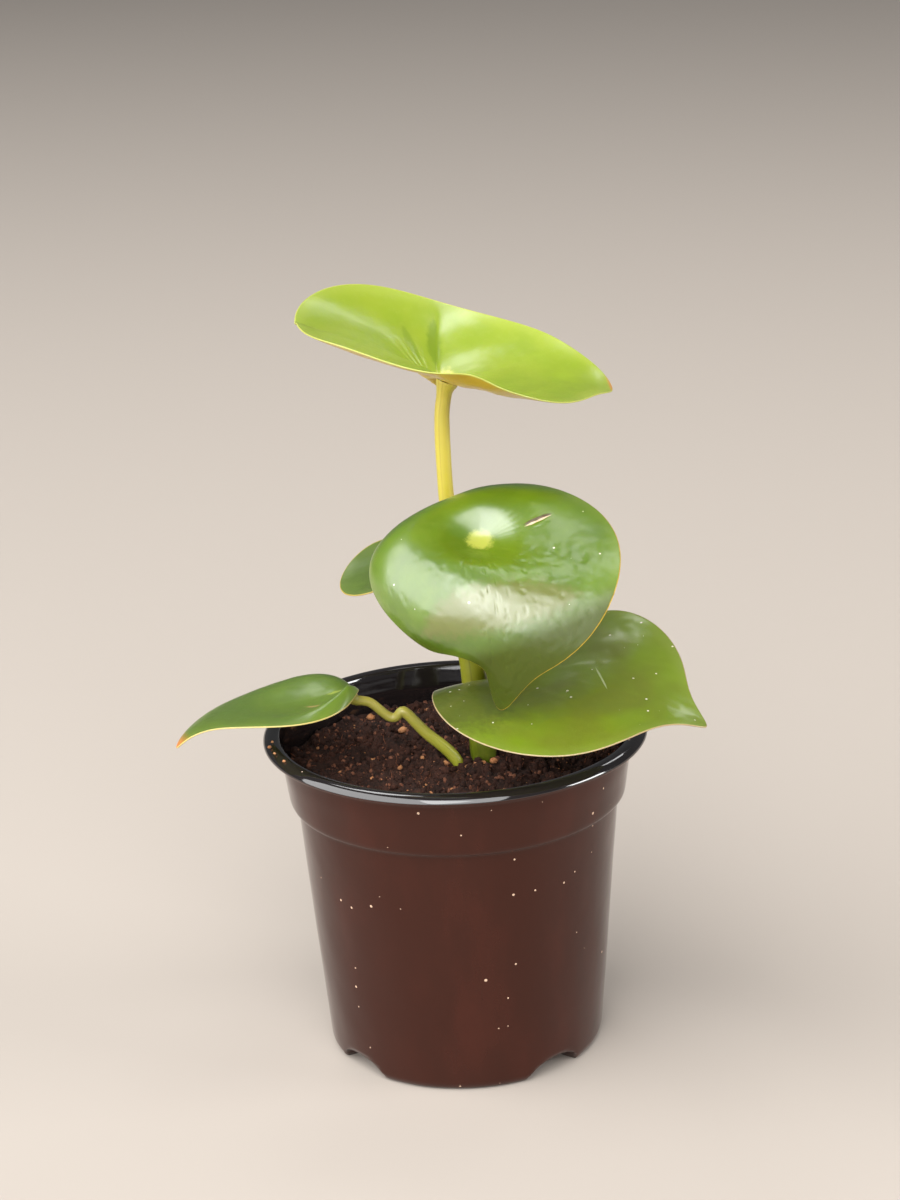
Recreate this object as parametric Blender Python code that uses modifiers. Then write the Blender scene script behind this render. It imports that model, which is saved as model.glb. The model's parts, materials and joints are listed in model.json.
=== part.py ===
"""A raindrop peperomia with five leaves, growing in a round nursery pot.

Metres, +Z up. The origin is on the pot's axis, on its flat underside, and the front of the plant is -Y.
The pot is a turned form with four arched channels pressed into its base, hollowed by a turned core that
is pressed in the same way. The soil is that core again, a gap smaller, up to its rough top. The stem and
two of the leaf stalks stand in plain holes in the soil. The other stalks meet the stem. Each blade is a
disc drawn out to a drop, bent along its spokes by one rule, and thickened.
"""

import math

import bmesh
import bpy
from mathutils import Matrix, Vector

MM = 0.001
GAP = 0.3  # mm between pieces that touch
WELD = 0.00001  # metres, under which points are one
SHARP_EDGE = math.radians(40.0)
SHARP_LEAF_EDGE = math.radians(60.0)

# The pot, in millimetres. Its lip, band, groove and body are drawn down from the rim.
POT_HEIGHT = 105.0
RIM_RADIUS = 60.0
BODY_RADIUS = 50.3  # just under the stacking groove
BASE_RADIUS = 43.4
FLOOR_THICKNESS = 0.9
TURN_STEPS = 56

# The channels between the four feet, and the drain hole in the roof of each.
CHANNEL_COUNT = 4
CHANNEL_TURN = math.radians(39.0)  # from the front towards +X, to the middle of the first
CHANNEL_CENTRE = 50.0
CHANNEL_REACH = 21.0
CHANNEL_HALF_WIDTH = 11.0
CHANNEL_HEIGHT = 6.3
CHANNEL_WALL = 0.9
CHANNEL_SIDES = 28
DRAIN_RADIUS = 2.4
DRAIN_CENTRE = 38.5
DRAIN_DEPTH = 10.0
DRAIN_SIDES = 16

# The soil fills the pot to this height, with a rough top.
SOIL_LEVEL = 93.0
SOIL_EDGE_RADIUS = 53.0
SOIL_RINGS = (8.0, 16.0, 24.0, 32.0, 40.0, 47.0)

# The blades.
BLADE_THICKNESS = 1.0
BLADE_RINGS = 9
BLADE_SPOKES = 36
SPOKE_STEPS = 24
TIP_CROWDING = 0.35  # draws the spokes together at the tip
EDGE_TAPER = 0.12
DISH_START = 3.0
HOOK_SPREAD = 0.35  # radians either side of the tip that the hook takes in
HOOK_POWER = 5
LIFT_SPREAD = 0.45
LIFT_POWER = 4

# Each leaf: where its stalk meets it, the direction of its tip (turned from +X), how far the tip rises and
# the blade rolls, its flat size, and how it is dished round the stalk and bent down towards its edge. The
# waves are cosine and sine shares of one, two and three lobes round the stalk. Millimetres and degrees.
LEAVES = {
    "top": {
        "attach": (2, 3.7, 214.4), "heading": 12, "rise": -18.5, "roll": 3,
        "length": 102, "width": 79, "base": 50, "tip": 6.5, "tip_spread": 16,
        "dish": 13, "dish_reach": 21, "dish_waves": ((1.5, -5.5), (3, 4.5)),
        "bend": -26.5, "bend_waves": ((-11, -23), (11, 1.5), (-2, -5)),
        "bend_power": 1.44, "hook": 27.5, "lift": 24, "lift_at": -149.5,
    },
    "front": {
        "attach": (9.2, -33.9, 175.1), "heading": -78, "rise": -27.5, "roll": 1.5,
        "length": 89.5, "width": 79, "base": 27.5, "tip": 12.5, "tip_spread": 11,
        "dish": 19.5, "dish_reach": 21, "dish_waves": ((-7.5, -4.5), (7.5, -5.5)),
        "bend": 67.5, "bend_waves": ((14.5, -50), (27, -25), (-2, -13)),
        "bend_power": 1.63, "hook": -26, "lift": -11.5, "lift_at": 25,
    },
    "right": {
        "attach": (18.2, -20.8, 125.8), "heading": -29.5, "rise": 6, "roll": 12.5,
        "length": 85.5, "width": 79.5, "base": 21.5, "tip": 9.5, "tip_spread": 14.5,
        "dish": 11, "dish_reach": 13, "dish_waves": ((1.5, -16.5), (-1.5, 8.5)),
        "bend": 19.5, "bend_waves": ((-9, 12.5), (18.5, -23.5), (3, 5)),
        "bend_power": 1.58, "hook": 29.5, "lift": 43, "lift_at": -11,
    },
    "left": {
        "attach": (-32.1, -1, 118.2), "heading": 194, "rise": 7.5, "roll": 13.5,
        "length": 62, "width": 40, "base": 3.5, "tip": 9, "tip_spread": 22,
        "dish": 3, "dish_reach": 18, "dish_waves": ((-9, -8.5), (-15, -17)),
        "bend": 27, "bend_waves": ((-17.5, -5), (13.5, -1), (-8.5, -5)),
        "bend_power": 1.81, "hook": 18, "lift": -9, "lift_at": 95.5,
    },
    "back": {
        "attach": (-3.6, 30, 147.1), "heading": 92, "rise": -16.5, "roll": -14,
        "length": 51, "width": 63, "base": 22, "tip": 6.5, "tip_spread": 16,
        "dish": 5, "dish_reach": 18, "dish_waves": ((4.5, 11), (3.5, 3)),
        "bend": -10.5, "bend_waves": ((-16.5, -11.5), (4, -23), (9, -11.5)),
        "bend_power": 1.71, "hook": 0, "lift": -24, "lift_at": 79,
    },
}

# The main stem and the leaf stalks: points (x, y, z) and a radius at each, in millimetres. A stalk's last two
# points are set by its leaf, and by the angle that it leans from square to the blade, in degrees.
STEM_ROUTE = (
    (10.2, 1.0, 79.0), (8.6, 1.0, 93.0), (7.6, 1.1, 108.0),
    (6.1, 1.5, 123.0), (4.6, 1.9, 136.0), (3.0, 2.3, 149.0),
)
STEM_RADII = (4.1, 4.0, 4.0, 3.9, 3.7, 3.3)
STALKS = {
    "top": {
        "route": (
            (2.95, 2.3, 149.6), (1.4, 2.7, 164.0), (0.2, 3.2, 177.0),
            (-0.3, 3.6, 192.0), (-0.2, 3.9, 203.0), (0.5, 3.8, 208.5),
        ),
        "radii": (2.8, 2.5, 2.4, 2.35, 2.3, 2.3, 2.4),
        "lean": 0.0,
    },
    "front": {
        "route": ((5.0, 1.8, 133.0), (5.6, -7.5, 140.0), (7.5, -19.0, 151.0), (8.9, -28.5, 163.0)),
        "radii": (2.4, 2.2, 2.1, 2.0, 2.1),
        "lean": 15.0,
    },
    "right": {
        "route": ((7.4, 1.1, 107.0), (11.5, -6.0, 111.0), (15.5, -14.5, 117.0)),
        "radii": (2.4, 2.2, 2.1, 2.1),
        "lean": 25.0,
    },
    "back": {
        "route": (
            (12.6, 9.2, 79.0), (12.2, 9.0, 93.0), (11.6, 9.4, 107.0),
            (10.2, 12.0, 122.0), (5.0, 19.5, 136.0), (-1.0, 26.5, 143.0),
        ),
        "radii": (1.7, 1.6, 1.3, 1.3, 1.3, 1.4, 1.6),
        "lean": 20.0,
    },
    "left": {
        "route": (
            (2.6, -3.6, 82.0), (-0.3, -1.0, 93.4), (-9.5, -1.0, 103.1), (-14.6, -1.0, 109.0),
            (-16.4, -0.9, 110.0), (-18.2, -0.6, 108.2), (-20.7, -0.4, 108.5), (-26.0, -0.7, 113.3),
        ),
        "radii": (2.0, 2.0, 1.8, 1.7, 1.6, 1.5, 1.5, 1.45, 1.5),
        "lean": 50.0,
    },
}
STALKS_IN_SOIL = ("back", "left")
STALK_END_RUN = 2.5
STALK_BEVEL_STEPS = 4
STALK_POINT_SPACING = 4.0
KINKED_STALK = "left"
KINK_POINT_SPACING = 2.0

# Colours, as linear red, green and blue.
POT_BROWN = (0.045, 0.012, 0.008)
PEAT_BROWN = (0.035, 0.015, 0.008)
STEM_GREEN = (0.26, 0.27, 0.02)
STALK_COLOURS = {
    "top": (0.62, 0.55, 0.09),
    "front": (0.40, 0.42, 0.07),
    "right": (0.30, 0.34, 0.05),
    "back": (0.52, 0.54, 0.20),
    "left": (0.30, 0.37, 0.05),
}
BLADE_COLOURS = {
    "top": (0.37, 0.57, 0.045),
    "front": (0.17, 0.35, 0.02),
    "right": (0.16, 0.28, 0.03),
    "back": (0.15, 0.27, 0.06),
    "left": (0.19, 0.31, 0.06),
}


def material(name, colour, roughness, coat=0.0):
    made = bpy.data.materials.new(name)
    made.use_nodes = True
    shader = made.node_tree.nodes["Principled BSDF"]
    shader.inputs["Base Color"].default_value = (*colour, 1.0)
    shader.inputs["Roughness"].default_value = roughness
    shader.inputs["Metallic"].default_value = 0.0
    shader.inputs["Coat Weight"].default_value = coat
    return made


def group(name, parent):
    """A new collection inside another."""
    made = bpy.data.collections.new(name)
    parent.children.link(made)
    return made


def link(name, mesh, collection):
    made = bpy.data.objects.new(name, mesh)
    collection.objects.link(made)
    return made


def as_cutter(cutter):
    cutter.hide_render = True
    cutter.display_type = "WIRE"
    return cutter


def shade(mesh, sharp=SHARP_EDGE):
    mesh.shade_smooth()
    mesh.set_sharp_from_angle(angle=sharp)


def baked(holder):
    """The evaluated shape of an object as a plain, welded mesh. The object itself is removed."""
    bpy.context.view_layer.update()
    graph = bpy.context.evaluated_depsgraph_get()
    mesh = bpy.data.meshes.new_from_object(holder.evaluated_get(graph))
    bpy.data.objects.remove(holder)
    form = bmesh.new()
    form.from_mesh(mesh)
    bmesh.ops.remove_doubles(form, verts=form.verts, dist=WELD)
    form.to_mesh(mesh)
    form.free()
    return mesh


def turned(name, profile, steps, collection):
    """A profile of (radius, height) in millimetres, from the top down its outer side, turned about Z."""
    mesh = bpy.data.meshes.new(name)
    points = [(radius * MM, 0.0, height * MM) for radius, height in profile]
    mesh.from_pydata(points, [(i, i + 1) for i in range(len(points) - 1)], [])
    holder = link(name, mesh, collection)
    screw = holder.modifiers.new("turn", "SCREW")
    screw.angle = math.tau
    screw.steps = steps
    screw.render_steps = steps
    screw.use_merge_vertices = True
    screw.merge_threshold = WELD
    return link(name, baked(holder), collection)


def cut(body, cutter):
    """Takes one object, or every object of a collection, out of the body."""
    boolean = body.modifiers.new("cut", "BOOLEAN")
    boolean.operation = "DIFFERENCE"
    boolean.solver = "EXACT"
    if isinstance(cutter, bpy.types.Collection):
        boolean.operand_type = "COLLECTION"
        boolean.collection = cutter
    else:
        boolean.object = cutter


# The pot and its soil.


def pot_outside():
    """The outer form, from the middle of the rim plane down to the flat underside."""
    lip = ((57.8, 0.0), (59.3, 0.25), (59.9, 0.8), (RIM_RADIUS, 1.3), (59.8, 1.8), (59.2, 2.0), (58.5, 1.7))
    under_lip = ((56.6, 1.5), (55.7, 1.9), (55.3, 2.8), (55.1, 4.6), (54.7, 5.3))
    band = ((54.3, 10.0), (53.6, 15.0), (53.0, 19.5), (52.7, 21.0))
    groove = ((52.2, 21.9), (50.9, 22.4), (50.45, 23.2), (BODY_RADIUS, 24.2))
    foot = ((0.4, 3.0), (-0.2, 1.2), (-1.1, 0.25), (-2.1, 0.0))
    drawn = [(0.0, POT_HEIGHT)]
    drawn += [(radius, POT_HEIGHT - drop) for radius, drop in lip + under_lip + band + groove]
    drawn += [(BASE_RADIUS + out, height) for out, height in foot]
    return drawn + [(0.0, 0.0)]


def core_side():
    """The wall of the hollow, as radius and height, from just under the lip down to the floor."""
    band = ((54.5, 1.5), (54.0, 5.0), (53.4, 11.0), (52.4, 18.0), (51.9, 20.6))
    groove = ((49.9, 22.2), (49.55, 23.2))
    foot = ((BASE_RADIUS - 0.8, 3.2), (BASE_RADIUS - 1.5, 1.9), (BASE_RADIUS - 2.8, FLOOR_THICKNESS))
    return [(radius, POT_HEIGHT - drop) for radius, drop in band + groove] + list(foot)


def channel(turn, grow, collection):
    """A rounded wedge under the base's edge, that presses one channel up between two feet."""
    form = bmesh.new()
    bmesh.ops.create_uvsphere(form, u_segments=CHANNEL_SIDES, v_segments=CHANNEL_SIDES // 2, radius=1.0)
    size = (CHANNEL_HALF_WIDTH + grow, CHANNEL_REACH + grow, CHANNEL_HEIGHT + grow)
    bmesh.ops.scale(form, vec=[side * MM for side in size], verts=form.verts)
    bmesh.ops.translate(form, vec=(0.0, -CHANNEL_CENTRE * MM, 0.0), verts=form.verts)
    bmesh.ops.rotate(form, cent=(0, 0, 0), matrix=Matrix.Rotation(turn, 3, "Z"), verts=form.verts)
    mesh = bpy.data.meshes.new("channel")
    form.to_mesh(mesh)
    form.free()
    return as_cutter(link("channel", mesh, collection))


def drain(turn, collection):
    """A round rod through the roof of one channel."""
    form = bmesh.new()
    radius, depth = DRAIN_RADIUS * MM, DRAIN_DEPTH * MM
    bmesh.ops.create_cone(
        form, cap_ends=True, segments=DRAIN_SIDES, radius1=radius, radius2=radius, depth=depth
    )
    place = Matrix.Rotation(turn, 4, "Z") @ Matrix.Translation((0.0, -DRAIN_CENTRE * MM, depth / 2))
    bmesh.ops.transform(form, matrix=place, verts=form.verts)
    mesh = bpy.data.meshes.new("drain")
    form.to_mesh(mesh)
    form.free()
    return as_cutter(link("drain", mesh, collection))


def channel_turns():
    return [CHANNEL_TURN + index * math.tau / CHANNEL_COUNT for index in range(CHANNEL_COUNT)]


def channel_set(name, grow):
    """The four channels, grown by a wall or a gap, in a collection of their own."""
    made = group(name, cutters)
    for turn in channel_turns():
        channel(turn, grow, made)
    return made


def make_pot(finish):
    above = POT_HEIGHT + 1.0
    mouth = ((0.0, above), (55.6, above), (55.6, POT_HEIGHT), (54.9, POT_HEIGHT - 0.5))
    core_profile = list(mouth) + core_side() + [(0.0, FLOOR_THICKNESS)]
    core = as_cutter(turned("core", core_profile, TURN_STEPS, cutters))
    cut(core, channel_set("channel roofs", CHANNEL_WALL))
    pot = turned("pot", pot_outside(), TURN_STEPS, parts)
    cut(pot, channel_set("channels", 0.0))
    cut(pot, core)
    drains = group("drains", cutters)
    for turn in channel_turns():
        drain(turn, drains)
    cut(pot, drains)
    pot.data.materials.append(finish)
    shade(pot.data)


def soil_relief(x, y):
    """Height of the rough soil top over its level, in millimetres."""
    swell = 0.7 * math.sin(0.11 * x + 0.6) * math.cos(0.13 * y)
    clods = 0.55 * math.sin(0.37 * x + 0.21 * y) + 0.45 * math.sin(0.43 * y - 0.29 * x + 1.3)
    return swell + clods


def make_soil(holes, finish):
    underside = FLOOR_THICKNESS + GAP
    side = [(radius - GAP, height) for radius, height in core_side() if height < SOIL_LEVEL]
    side[-1] = (side[-1][0], underside)
    top = [(radius, SOIL_LEVEL) for radius in (0.0, *SOIL_RINGS, SOIL_EDGE_RADIUS)]
    soil = turned("soil", top + side + [(0.0, underside)], TURN_STEPS // 2, parts)
    for vertex in soil.data.vertices:
        x, y, height = (axis / MM for axis in vertex.co)
        on_top = height > SOIL_LEVEL - GAP
        if on_top and math.hypot(x, y) < SOIL_EDGE_RADIUS - GAP:
            vertex.co.z += soil_relief(x, y) * MM
    cut(soil, channel_set("soil over channels", CHANNEL_WALL + GAP))
    for hole in holes.objects:
        cut(soil, hole)
    soil.data.materials.append(finish)
    shade(soil.data)


# The stem and the leaf stalks.


def smooth_route(points, radii, spacing):
    """Points read from a smooth curve through the given ones, with the radius at each."""
    knots = [Vector(point) for point in points]
    ends = [knots[0] * 2 - knots[1], *knots, knots[-1] * 2 - knots[-2]]
    drawn = []
    for index in range(len(knots) - 1):
        before, start, end, after = ends[index:index + 4]
        count = max(1, round((end - start).length / spacing))
        for step in range(count):
            t = step / count
            bend = (2 * before - 5 * start + 4 * end - after) * t * t
            twist = (3 * start - before - 3 * end + after) * t * t * t
            place = 0.5 * (2 * start + (end - before) * t + bend + twist)
            drawn.append((place, radii[index] * (1 - t) + radii[index + 1] * t))
    return drawn + [(knots[-1], radii[-1])]


def tube(name, points, radii, collection, grow=0.0, spacing=STALK_POINT_SPACING):
    """A round stalk along a smooth route, as a closed mesh."""
    drawn = smooth_route(points, radii, spacing)
    widest = max(radii) + grow
    curve = bpy.data.curves.new(name, "CURVE")
    curve.dimensions = "3D"
    curve.bevel_depth = widest * MM
    curve.bevel_resolution = STALK_BEVEL_STEPS
    curve.use_fill_caps = True
    spline = curve.splines.new("POLY")
    spline.points.add(len(drawn) - 1)
    for point, (place, radius) in zip(spline.points, drawn):
        point.co = (*(place * MM), 1.0)
        point.radius = (radius + grow) / widest
    return link(name, baked(link(name, curve, collection)), collection)


def stalk_route(leaf_name):
    """The route of a leaf's stalk. It comes in under the blade, leaning from its base, and ends inside it."""
    leaf, stalk = LEAVES[leaf_name], STALKS[leaf_name]
    lean = math.radians(stalk["lean"])
    tip_way, _, upper_side = blade_turn(leaf).col
    back_down = -upper_side * math.cos(lean) - tip_way * math.sin(lean)
    end = Vector(leaf["attach"]) - upper_side * stalk["radii"][-1] * math.sin(lean)
    return list(stalk["route"]) + [end + back_down * STALK_END_RUN, end]


def stalk_radii(leaf_name):
    radii = STALKS[leaf_name]["radii"]
    return list(radii) + [radii[-1]]


def make_stem(holes, finish):
    """The main stem and its hole in the soil. Returns the cutter that keeps the stalks clear of it."""
    stem = tube("main_stem", STEM_ROUTE, STEM_RADII, parts)
    stem.data.materials.append(finish)
    shade(stem.data)
    as_cutter(tube("stem hole", STEM_ROUTE, STEM_RADII, holes, GAP))
    return as_cutter(tube("stem clearance", STEM_ROUTE, STEM_RADII, cutters, GAP))


def make_stalk(leaf_name, stem_clearance, blade_clearance, holes, finish):
    spacing = KINK_POINT_SPACING if leaf_name == KINKED_STALK else STALK_POINT_SPACING
    route, radii = stalk_route(leaf_name), stalk_radii(leaf_name)
    stalk = tube("petiole_" + leaf_name, route, radii, parts, 0.0, spacing)
    if leaf_name in STALKS_IN_SOIL:
        as_cutter(tube(leaf_name + " stalk hole", route, radii, holes, GAP, spacing))
    else:
        cut(stalk, stem_clearance)
    cut(stalk, blade_clearance)
    stalk.data.materials.append(finish)
    shade(stalk.data)


# The blades.


def blade_turn(leaf):
    """The rotation of a blade: its tip along the first column, its upper side along the third."""
    heading = Matrix.Rotation(math.radians(leaf["heading"]), 3, "Z")
    rise = Matrix.Rotation(math.radians(-leaf["rise"]), 3, "Y")
    roll = Matrix.Rotation(math.radians(leaf["roll"]), 3, "X")
    return heading @ rise @ roll


def drop_outline(leaf, around):
    """A point on the flat blade's edge, measured from the stalk, in millimetres. The tip is at zero."""
    half = (leaf["length"] - leaf["tip"]) / 2
    drawn_out = leaf["tip"] * math.exp(-((around / math.radians(leaf["tip_spread"])) ** 2))
    along = half - leaf["base"] + half * math.cos(around) + drawn_out
    across = leaf["width"] / 2 * math.sin(around) * (1 - EDGE_TAPER * math.cos(around))
    return along, across


def waves(mean, shares, direction):
    """A mean and its lobes round the stalk, in radians."""
    total = mean
    for lobes, (cosine, sine) in enumerate(shares, start=1):
        total += cosine * math.cos(lobes * direction) + sine * math.sin(lobes * direction)
    return math.radians(total)


def round_reach(leaf, direction):
    """How far the blade reaches from the stalk in one direction, read as an oval with no drawn out tip."""
    half_long, half_wide = (leaf["length"] - leaf["tip"]) / 2, leaf["width"] / 2
    middle = half_long - leaf["base"]
    cosine, sine = math.cos(direction), math.sin(direction)
    square = (cosine / half_long) ** 2 + (sine / half_wide) ** 2
    linear = -2 * middle * cosine / half_long**2
    constant = (middle / half_long) ** 2 - 1
    return (math.sqrt(linear**2 - 4 * square * constant) - linear) / (2 * square)


def spoke(leaf, around):
    """Points (out, up) along one spoke, stalk to edge, and its direction. The spoke keeps its length."""
    along, across = drop_outline(leaf, around)
    length, direction = math.hypot(along, across), math.atan2(across, along)
    whole = round_reach(leaf, direction)
    bend = waves(leaf["bend"], leaf["bend_waves"], direction)
    dish = waves(leaf["dish"], leaf["dish_waves"], direction)
    hook = math.radians(leaf["hook"]) * math.exp(-((direction / HOOK_SPREAD) ** 2))
    from_lift = direction - math.radians(leaf["lift_at"])
    lift = math.radians(leaf["lift"]) * math.exp(-((from_lift / LIFT_SPREAD) ** 2))
    out, up, points = 0.0, 0.0, [(0.0, 0.0)]
    for step in range(SPOKE_STEPS):
        reach = (step + 0.5) / SPOKE_STEPS * length
        share = reach / whole
        begun = 1 - math.exp(-((reach / DISH_START) ** 2))
        slope = dish * begun * math.exp(-((reach / leaf["dish_reach"]) ** 2))
        slope += lift * share**LIFT_POWER - hook * share**HOOK_POWER - bend * share ** leaf["bend_power"]
        out += math.cos(slope) * length / SPOKE_STEPS
        up += math.sin(slope) * length / SPOKE_STEPS
        points.append((out, up))
    return direction, points


def blade_point(leaf, around, share):
    """A point of the blade's middle sheet, in millimetres from its stalk, at a share of one spoke."""
    direction, points = spoke(leaf, around)
    at = share * SPOKE_STEPS
    low = min(int(at), SPOKE_STEPS - 1)
    out, up = Vector(points[low]).lerp(Vector(points[low + 1]), at - low)
    return Vector((out * math.cos(direction), out * math.sin(direction), up))


def make_blade(leaf_name, finish):
    """One blade, from a flat disc of unit radius. Returns the cutter that keeps its stalk clear of it."""
    leaf = LEAVES[leaf_name]
    rings = [(ring / BLADE_RINGS / MM, 0.0) for ring in range(BLADE_RINGS, -1, -1)]
    blade = turned("blade_" + leaf_name, rings, BLADE_SPOKES, parts)
    turn, attach = blade_turn(leaf), Vector(leaf["attach"])
    for vertex in blade.data.vertices:
        around = math.atan2(vertex.co.y, vertex.co.x)
        around -= TIP_CROWDING * math.sin(around)
        vertex.co = (attach + turn @ blade_point(leaf, around, vertex.co.xy.length)) * MM
    form = bmesh.new()
    form.from_mesh(blade.data)
    bmesh.ops.triangulate(form, faces=form.faces, quad_method="FIXED", ngon_method="BEAUTY")
    bmesh.ops.recalc_face_normals(form, faces=form.faces)
    form.to_mesh(blade.data)
    form.free()
    blade.data.materials.append(finish)
    shade(blade.data, SHARP_LEAF_EDGE)
    clearance = as_cutter(link("clearance of " + leaf_name, blade.data.copy(), cutters))
    for sheet, thickness in ((blade, BLADE_THICKNESS), (clearance, BLADE_THICKNESS + 2 * GAP)):
        thicken = sheet.modifiers.new("thickness", "SOLIDIFY")
        thicken.thickness = thickness * MM
        thicken.offset = 0.0
    return clearance


for old in list(bpy.data.objects):
    bpy.data.objects.remove(old)
parts = group("potted peperomia", bpy.context.scene.collection)
cutters = group("cutters", bpy.context.scene.collection)
soil_holes = group("holes in the soil", cutters)

grown_stem = make_stem(soil_holes, material("stem green", STEM_GREEN, 0.45))
for each in LEAVES:
    grown_blade = make_blade(each, material("blade " + each, BLADE_COLOURS[each], 0.3, 0.3))
    make_stalk(each, grown_stem, grown_blade, soil_holes, material("stalk " + each, STALK_COLOURS[each], 0.4))
make_pot(material("brown plastic", POT_BROWN, 0.15, 0.5))
make_soil(soil_holes, material("peat", PEAT_BROWN, 0.95))
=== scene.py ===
# %% [markdown]
# # A potted peperomia, dressed on its frame
#
# The frame is the plant as plain solids at their real size: a nursery pot, its soil, one main stem, five
# leaf stalks and five blades. This file gives each of them its fine form and its finish. Every finished
# piece takes the place of the solid that it stands for, and keeps that solid's form, so it has the same
# sizes and the same joins. Lengths are named in millimetres and become metres where a mesh is made.

import json
import math

import bpy
import numpy as np
from mathutils import Matrix, Vector, noise

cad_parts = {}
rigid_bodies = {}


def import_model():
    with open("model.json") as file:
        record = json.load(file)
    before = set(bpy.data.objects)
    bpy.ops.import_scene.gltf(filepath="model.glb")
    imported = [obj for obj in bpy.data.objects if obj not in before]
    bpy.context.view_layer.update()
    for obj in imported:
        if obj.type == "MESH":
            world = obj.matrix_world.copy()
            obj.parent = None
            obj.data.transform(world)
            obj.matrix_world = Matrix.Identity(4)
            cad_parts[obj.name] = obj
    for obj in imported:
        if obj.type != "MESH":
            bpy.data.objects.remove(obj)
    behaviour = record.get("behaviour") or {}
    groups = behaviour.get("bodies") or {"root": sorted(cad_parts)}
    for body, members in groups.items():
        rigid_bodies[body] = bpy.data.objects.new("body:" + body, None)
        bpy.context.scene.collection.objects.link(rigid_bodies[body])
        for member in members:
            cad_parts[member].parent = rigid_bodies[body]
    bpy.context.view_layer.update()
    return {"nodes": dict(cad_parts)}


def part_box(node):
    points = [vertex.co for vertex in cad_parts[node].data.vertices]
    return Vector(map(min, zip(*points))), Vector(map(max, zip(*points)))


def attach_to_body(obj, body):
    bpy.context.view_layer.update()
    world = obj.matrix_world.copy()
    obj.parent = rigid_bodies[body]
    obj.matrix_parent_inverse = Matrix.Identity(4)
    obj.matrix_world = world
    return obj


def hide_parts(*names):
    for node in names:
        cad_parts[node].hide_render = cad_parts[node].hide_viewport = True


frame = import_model()
MM = 0.001
print("frame nodes:", ", ".join(sorted(frame["nodes"])))

# %% [markdown]
# ## The camera
#
# The photograph was taken from in front and above, through a long lens, with the camera rolled a little.
# A camera is easiest to place by its own three directions, because then the dip and the roll are plain
# rotations: right, up and back are the three columns of its matrix.

# %% Place the camera
CAMERA_DISTANCE = 0.85  # metres from the middle of the rim
CAMERA_RISE = math.radians(21.3)
CAMERA_DIP = math.radians(18.7)
CAMERA_ROLL = math.radians(-2.3)
SENSOR_LONG_SIDE = 36.0
LENS = 81.6

_, pot_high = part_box("pot")
rim_centre = Vector((0.0, 0.0, pot_high.z))
towards_camera = Vector((0.0, -math.cos(CAMERA_RISE), math.sin(CAMERA_RISE)))
ahead = Vector((0.0, math.cos(CAMERA_DIP), -math.sin(CAMERA_DIP)))
level_up = Vector((0.0, math.sin(CAMERA_DIP), math.cos(CAMERA_DIP)))
rightwards = Vector((math.cos(CAMERA_ROLL), 0.0, 0.0)) + level_up * math.sin(CAMERA_ROLL)
upwards = Vector((-math.sin(CAMERA_ROLL), 0.0, 0.0)) + level_up * math.cos(CAMERA_ROLL)

camera = bpy.data.objects.new("camera", bpy.data.cameras.new("camera"))
camera.data.sensor_width = SENSOR_LONG_SIDE
camera.data.lens = LENS
turn = Matrix((rightwards, upwards, -ahead)).transposed().to_4x4()
camera.matrix_world = Matrix.Translation(rim_centre + towards_camera * CAMERA_DISTANCE) @ turn
bpy.context.scene.collection.objects.link(camera)
bpy.context.scene.camera = camera
print("camera at", [round(axis, 3) for axis in camera.location])

# %% [markdown]
# ## Shader helpers
#
# A node material is easier to read when one call makes a node, sets its inputs and links what is already
# there. These helpers do only that. Colours are written as they look on a screen, from 0 to 255, and are
# turned into the linear values that a shader works in. Patterns take their sizes in millimetres, so that a
# grain or a speck can be measured on the real plant.

# %% Write the shader helpers


def seen(red, green, blue):
    """A colour as it looks on a screen, as the linear colour that a shader takes."""
    shares = [level / 255 for level in (red, green, blue)]
    return tuple(s / 12.92 if s <= 0.04045 else ((s + 0.055) / 1.055) ** 2.4 for s in shares) + (1.0,)


def new_finish(name):
    """A new material, its node tree and its shader."""
    made = bpy.data.materials.new(name)
    made.use_nodes = True
    return made, made.node_tree, made.node_tree.nodes["Principled BSDF"]


def plug(tree, socket, value):
    """Links a socket to an input, or sets the input to a value."""
    if isinstance(value, bpy.types.NodeSocket):
        tree.links.new(value, socket)
    else:
        socket.default_value = value


def add(tree, kind, inputs=None, **settings):
    """A new node with these settings, and with its inputs set or linked."""
    made = tree.nodes.new(kind)
    for key, value in settings.items():
        setattr(made, key, value)
    for key, value in (inputs or {}).items():
        plug(tree, made.inputs[key], value)
    return made


def blend_colour(tree, share, first, second):
    made = add(tree, "ShaderNodeMix", data_type="RGBA")
    for index, value in ((0, share), (6, first), (7, second)):
        plug(tree, made.inputs[index], value)
    return made.outputs[2]


def arithmetic(tree, operation, first, second=0.0):
    return add(tree, "ShaderNodeMath", {0: first, 1: second}, operation=operation).outputs[0]


def stretch(tree, value, low, high, new_low=0.0, new_high=1.0):
    """Maps low to new_low and high to new_high, smoothly, and holds outside them."""
    inputs = {"Value": value, "From Min": low, "From Max": high, "To Min": new_low, "To Max": new_high}
    return add(tree, "ShaderNodeMapRange", inputs, interpolation_type="SMOOTHSTEP").outputs[0]


def attribute(tree, name):
    """A value that the mesh keeps under a name."""
    return add(tree, "ShaderNodeAttribute", attribute_name=name).outputs["Fac"]


print("a screen grey of 128 is", round(seen(128, 128, 128)[0], 3), "to a shader")

# %% Write the pattern helpers


def object_place(tree, scale=(1.0, 1.0, 1.0)):
    """Object coordinates in millimetres, stretched along each axis."""
    place = add(tree, "ShaderNodeTexCoord").outputs["Object"]
    inputs = {"Vector": place, "Scale": [share / MM for share in scale]}
    return add(tree, "ShaderNodeMapping", inputs).outputs[0]


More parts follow.
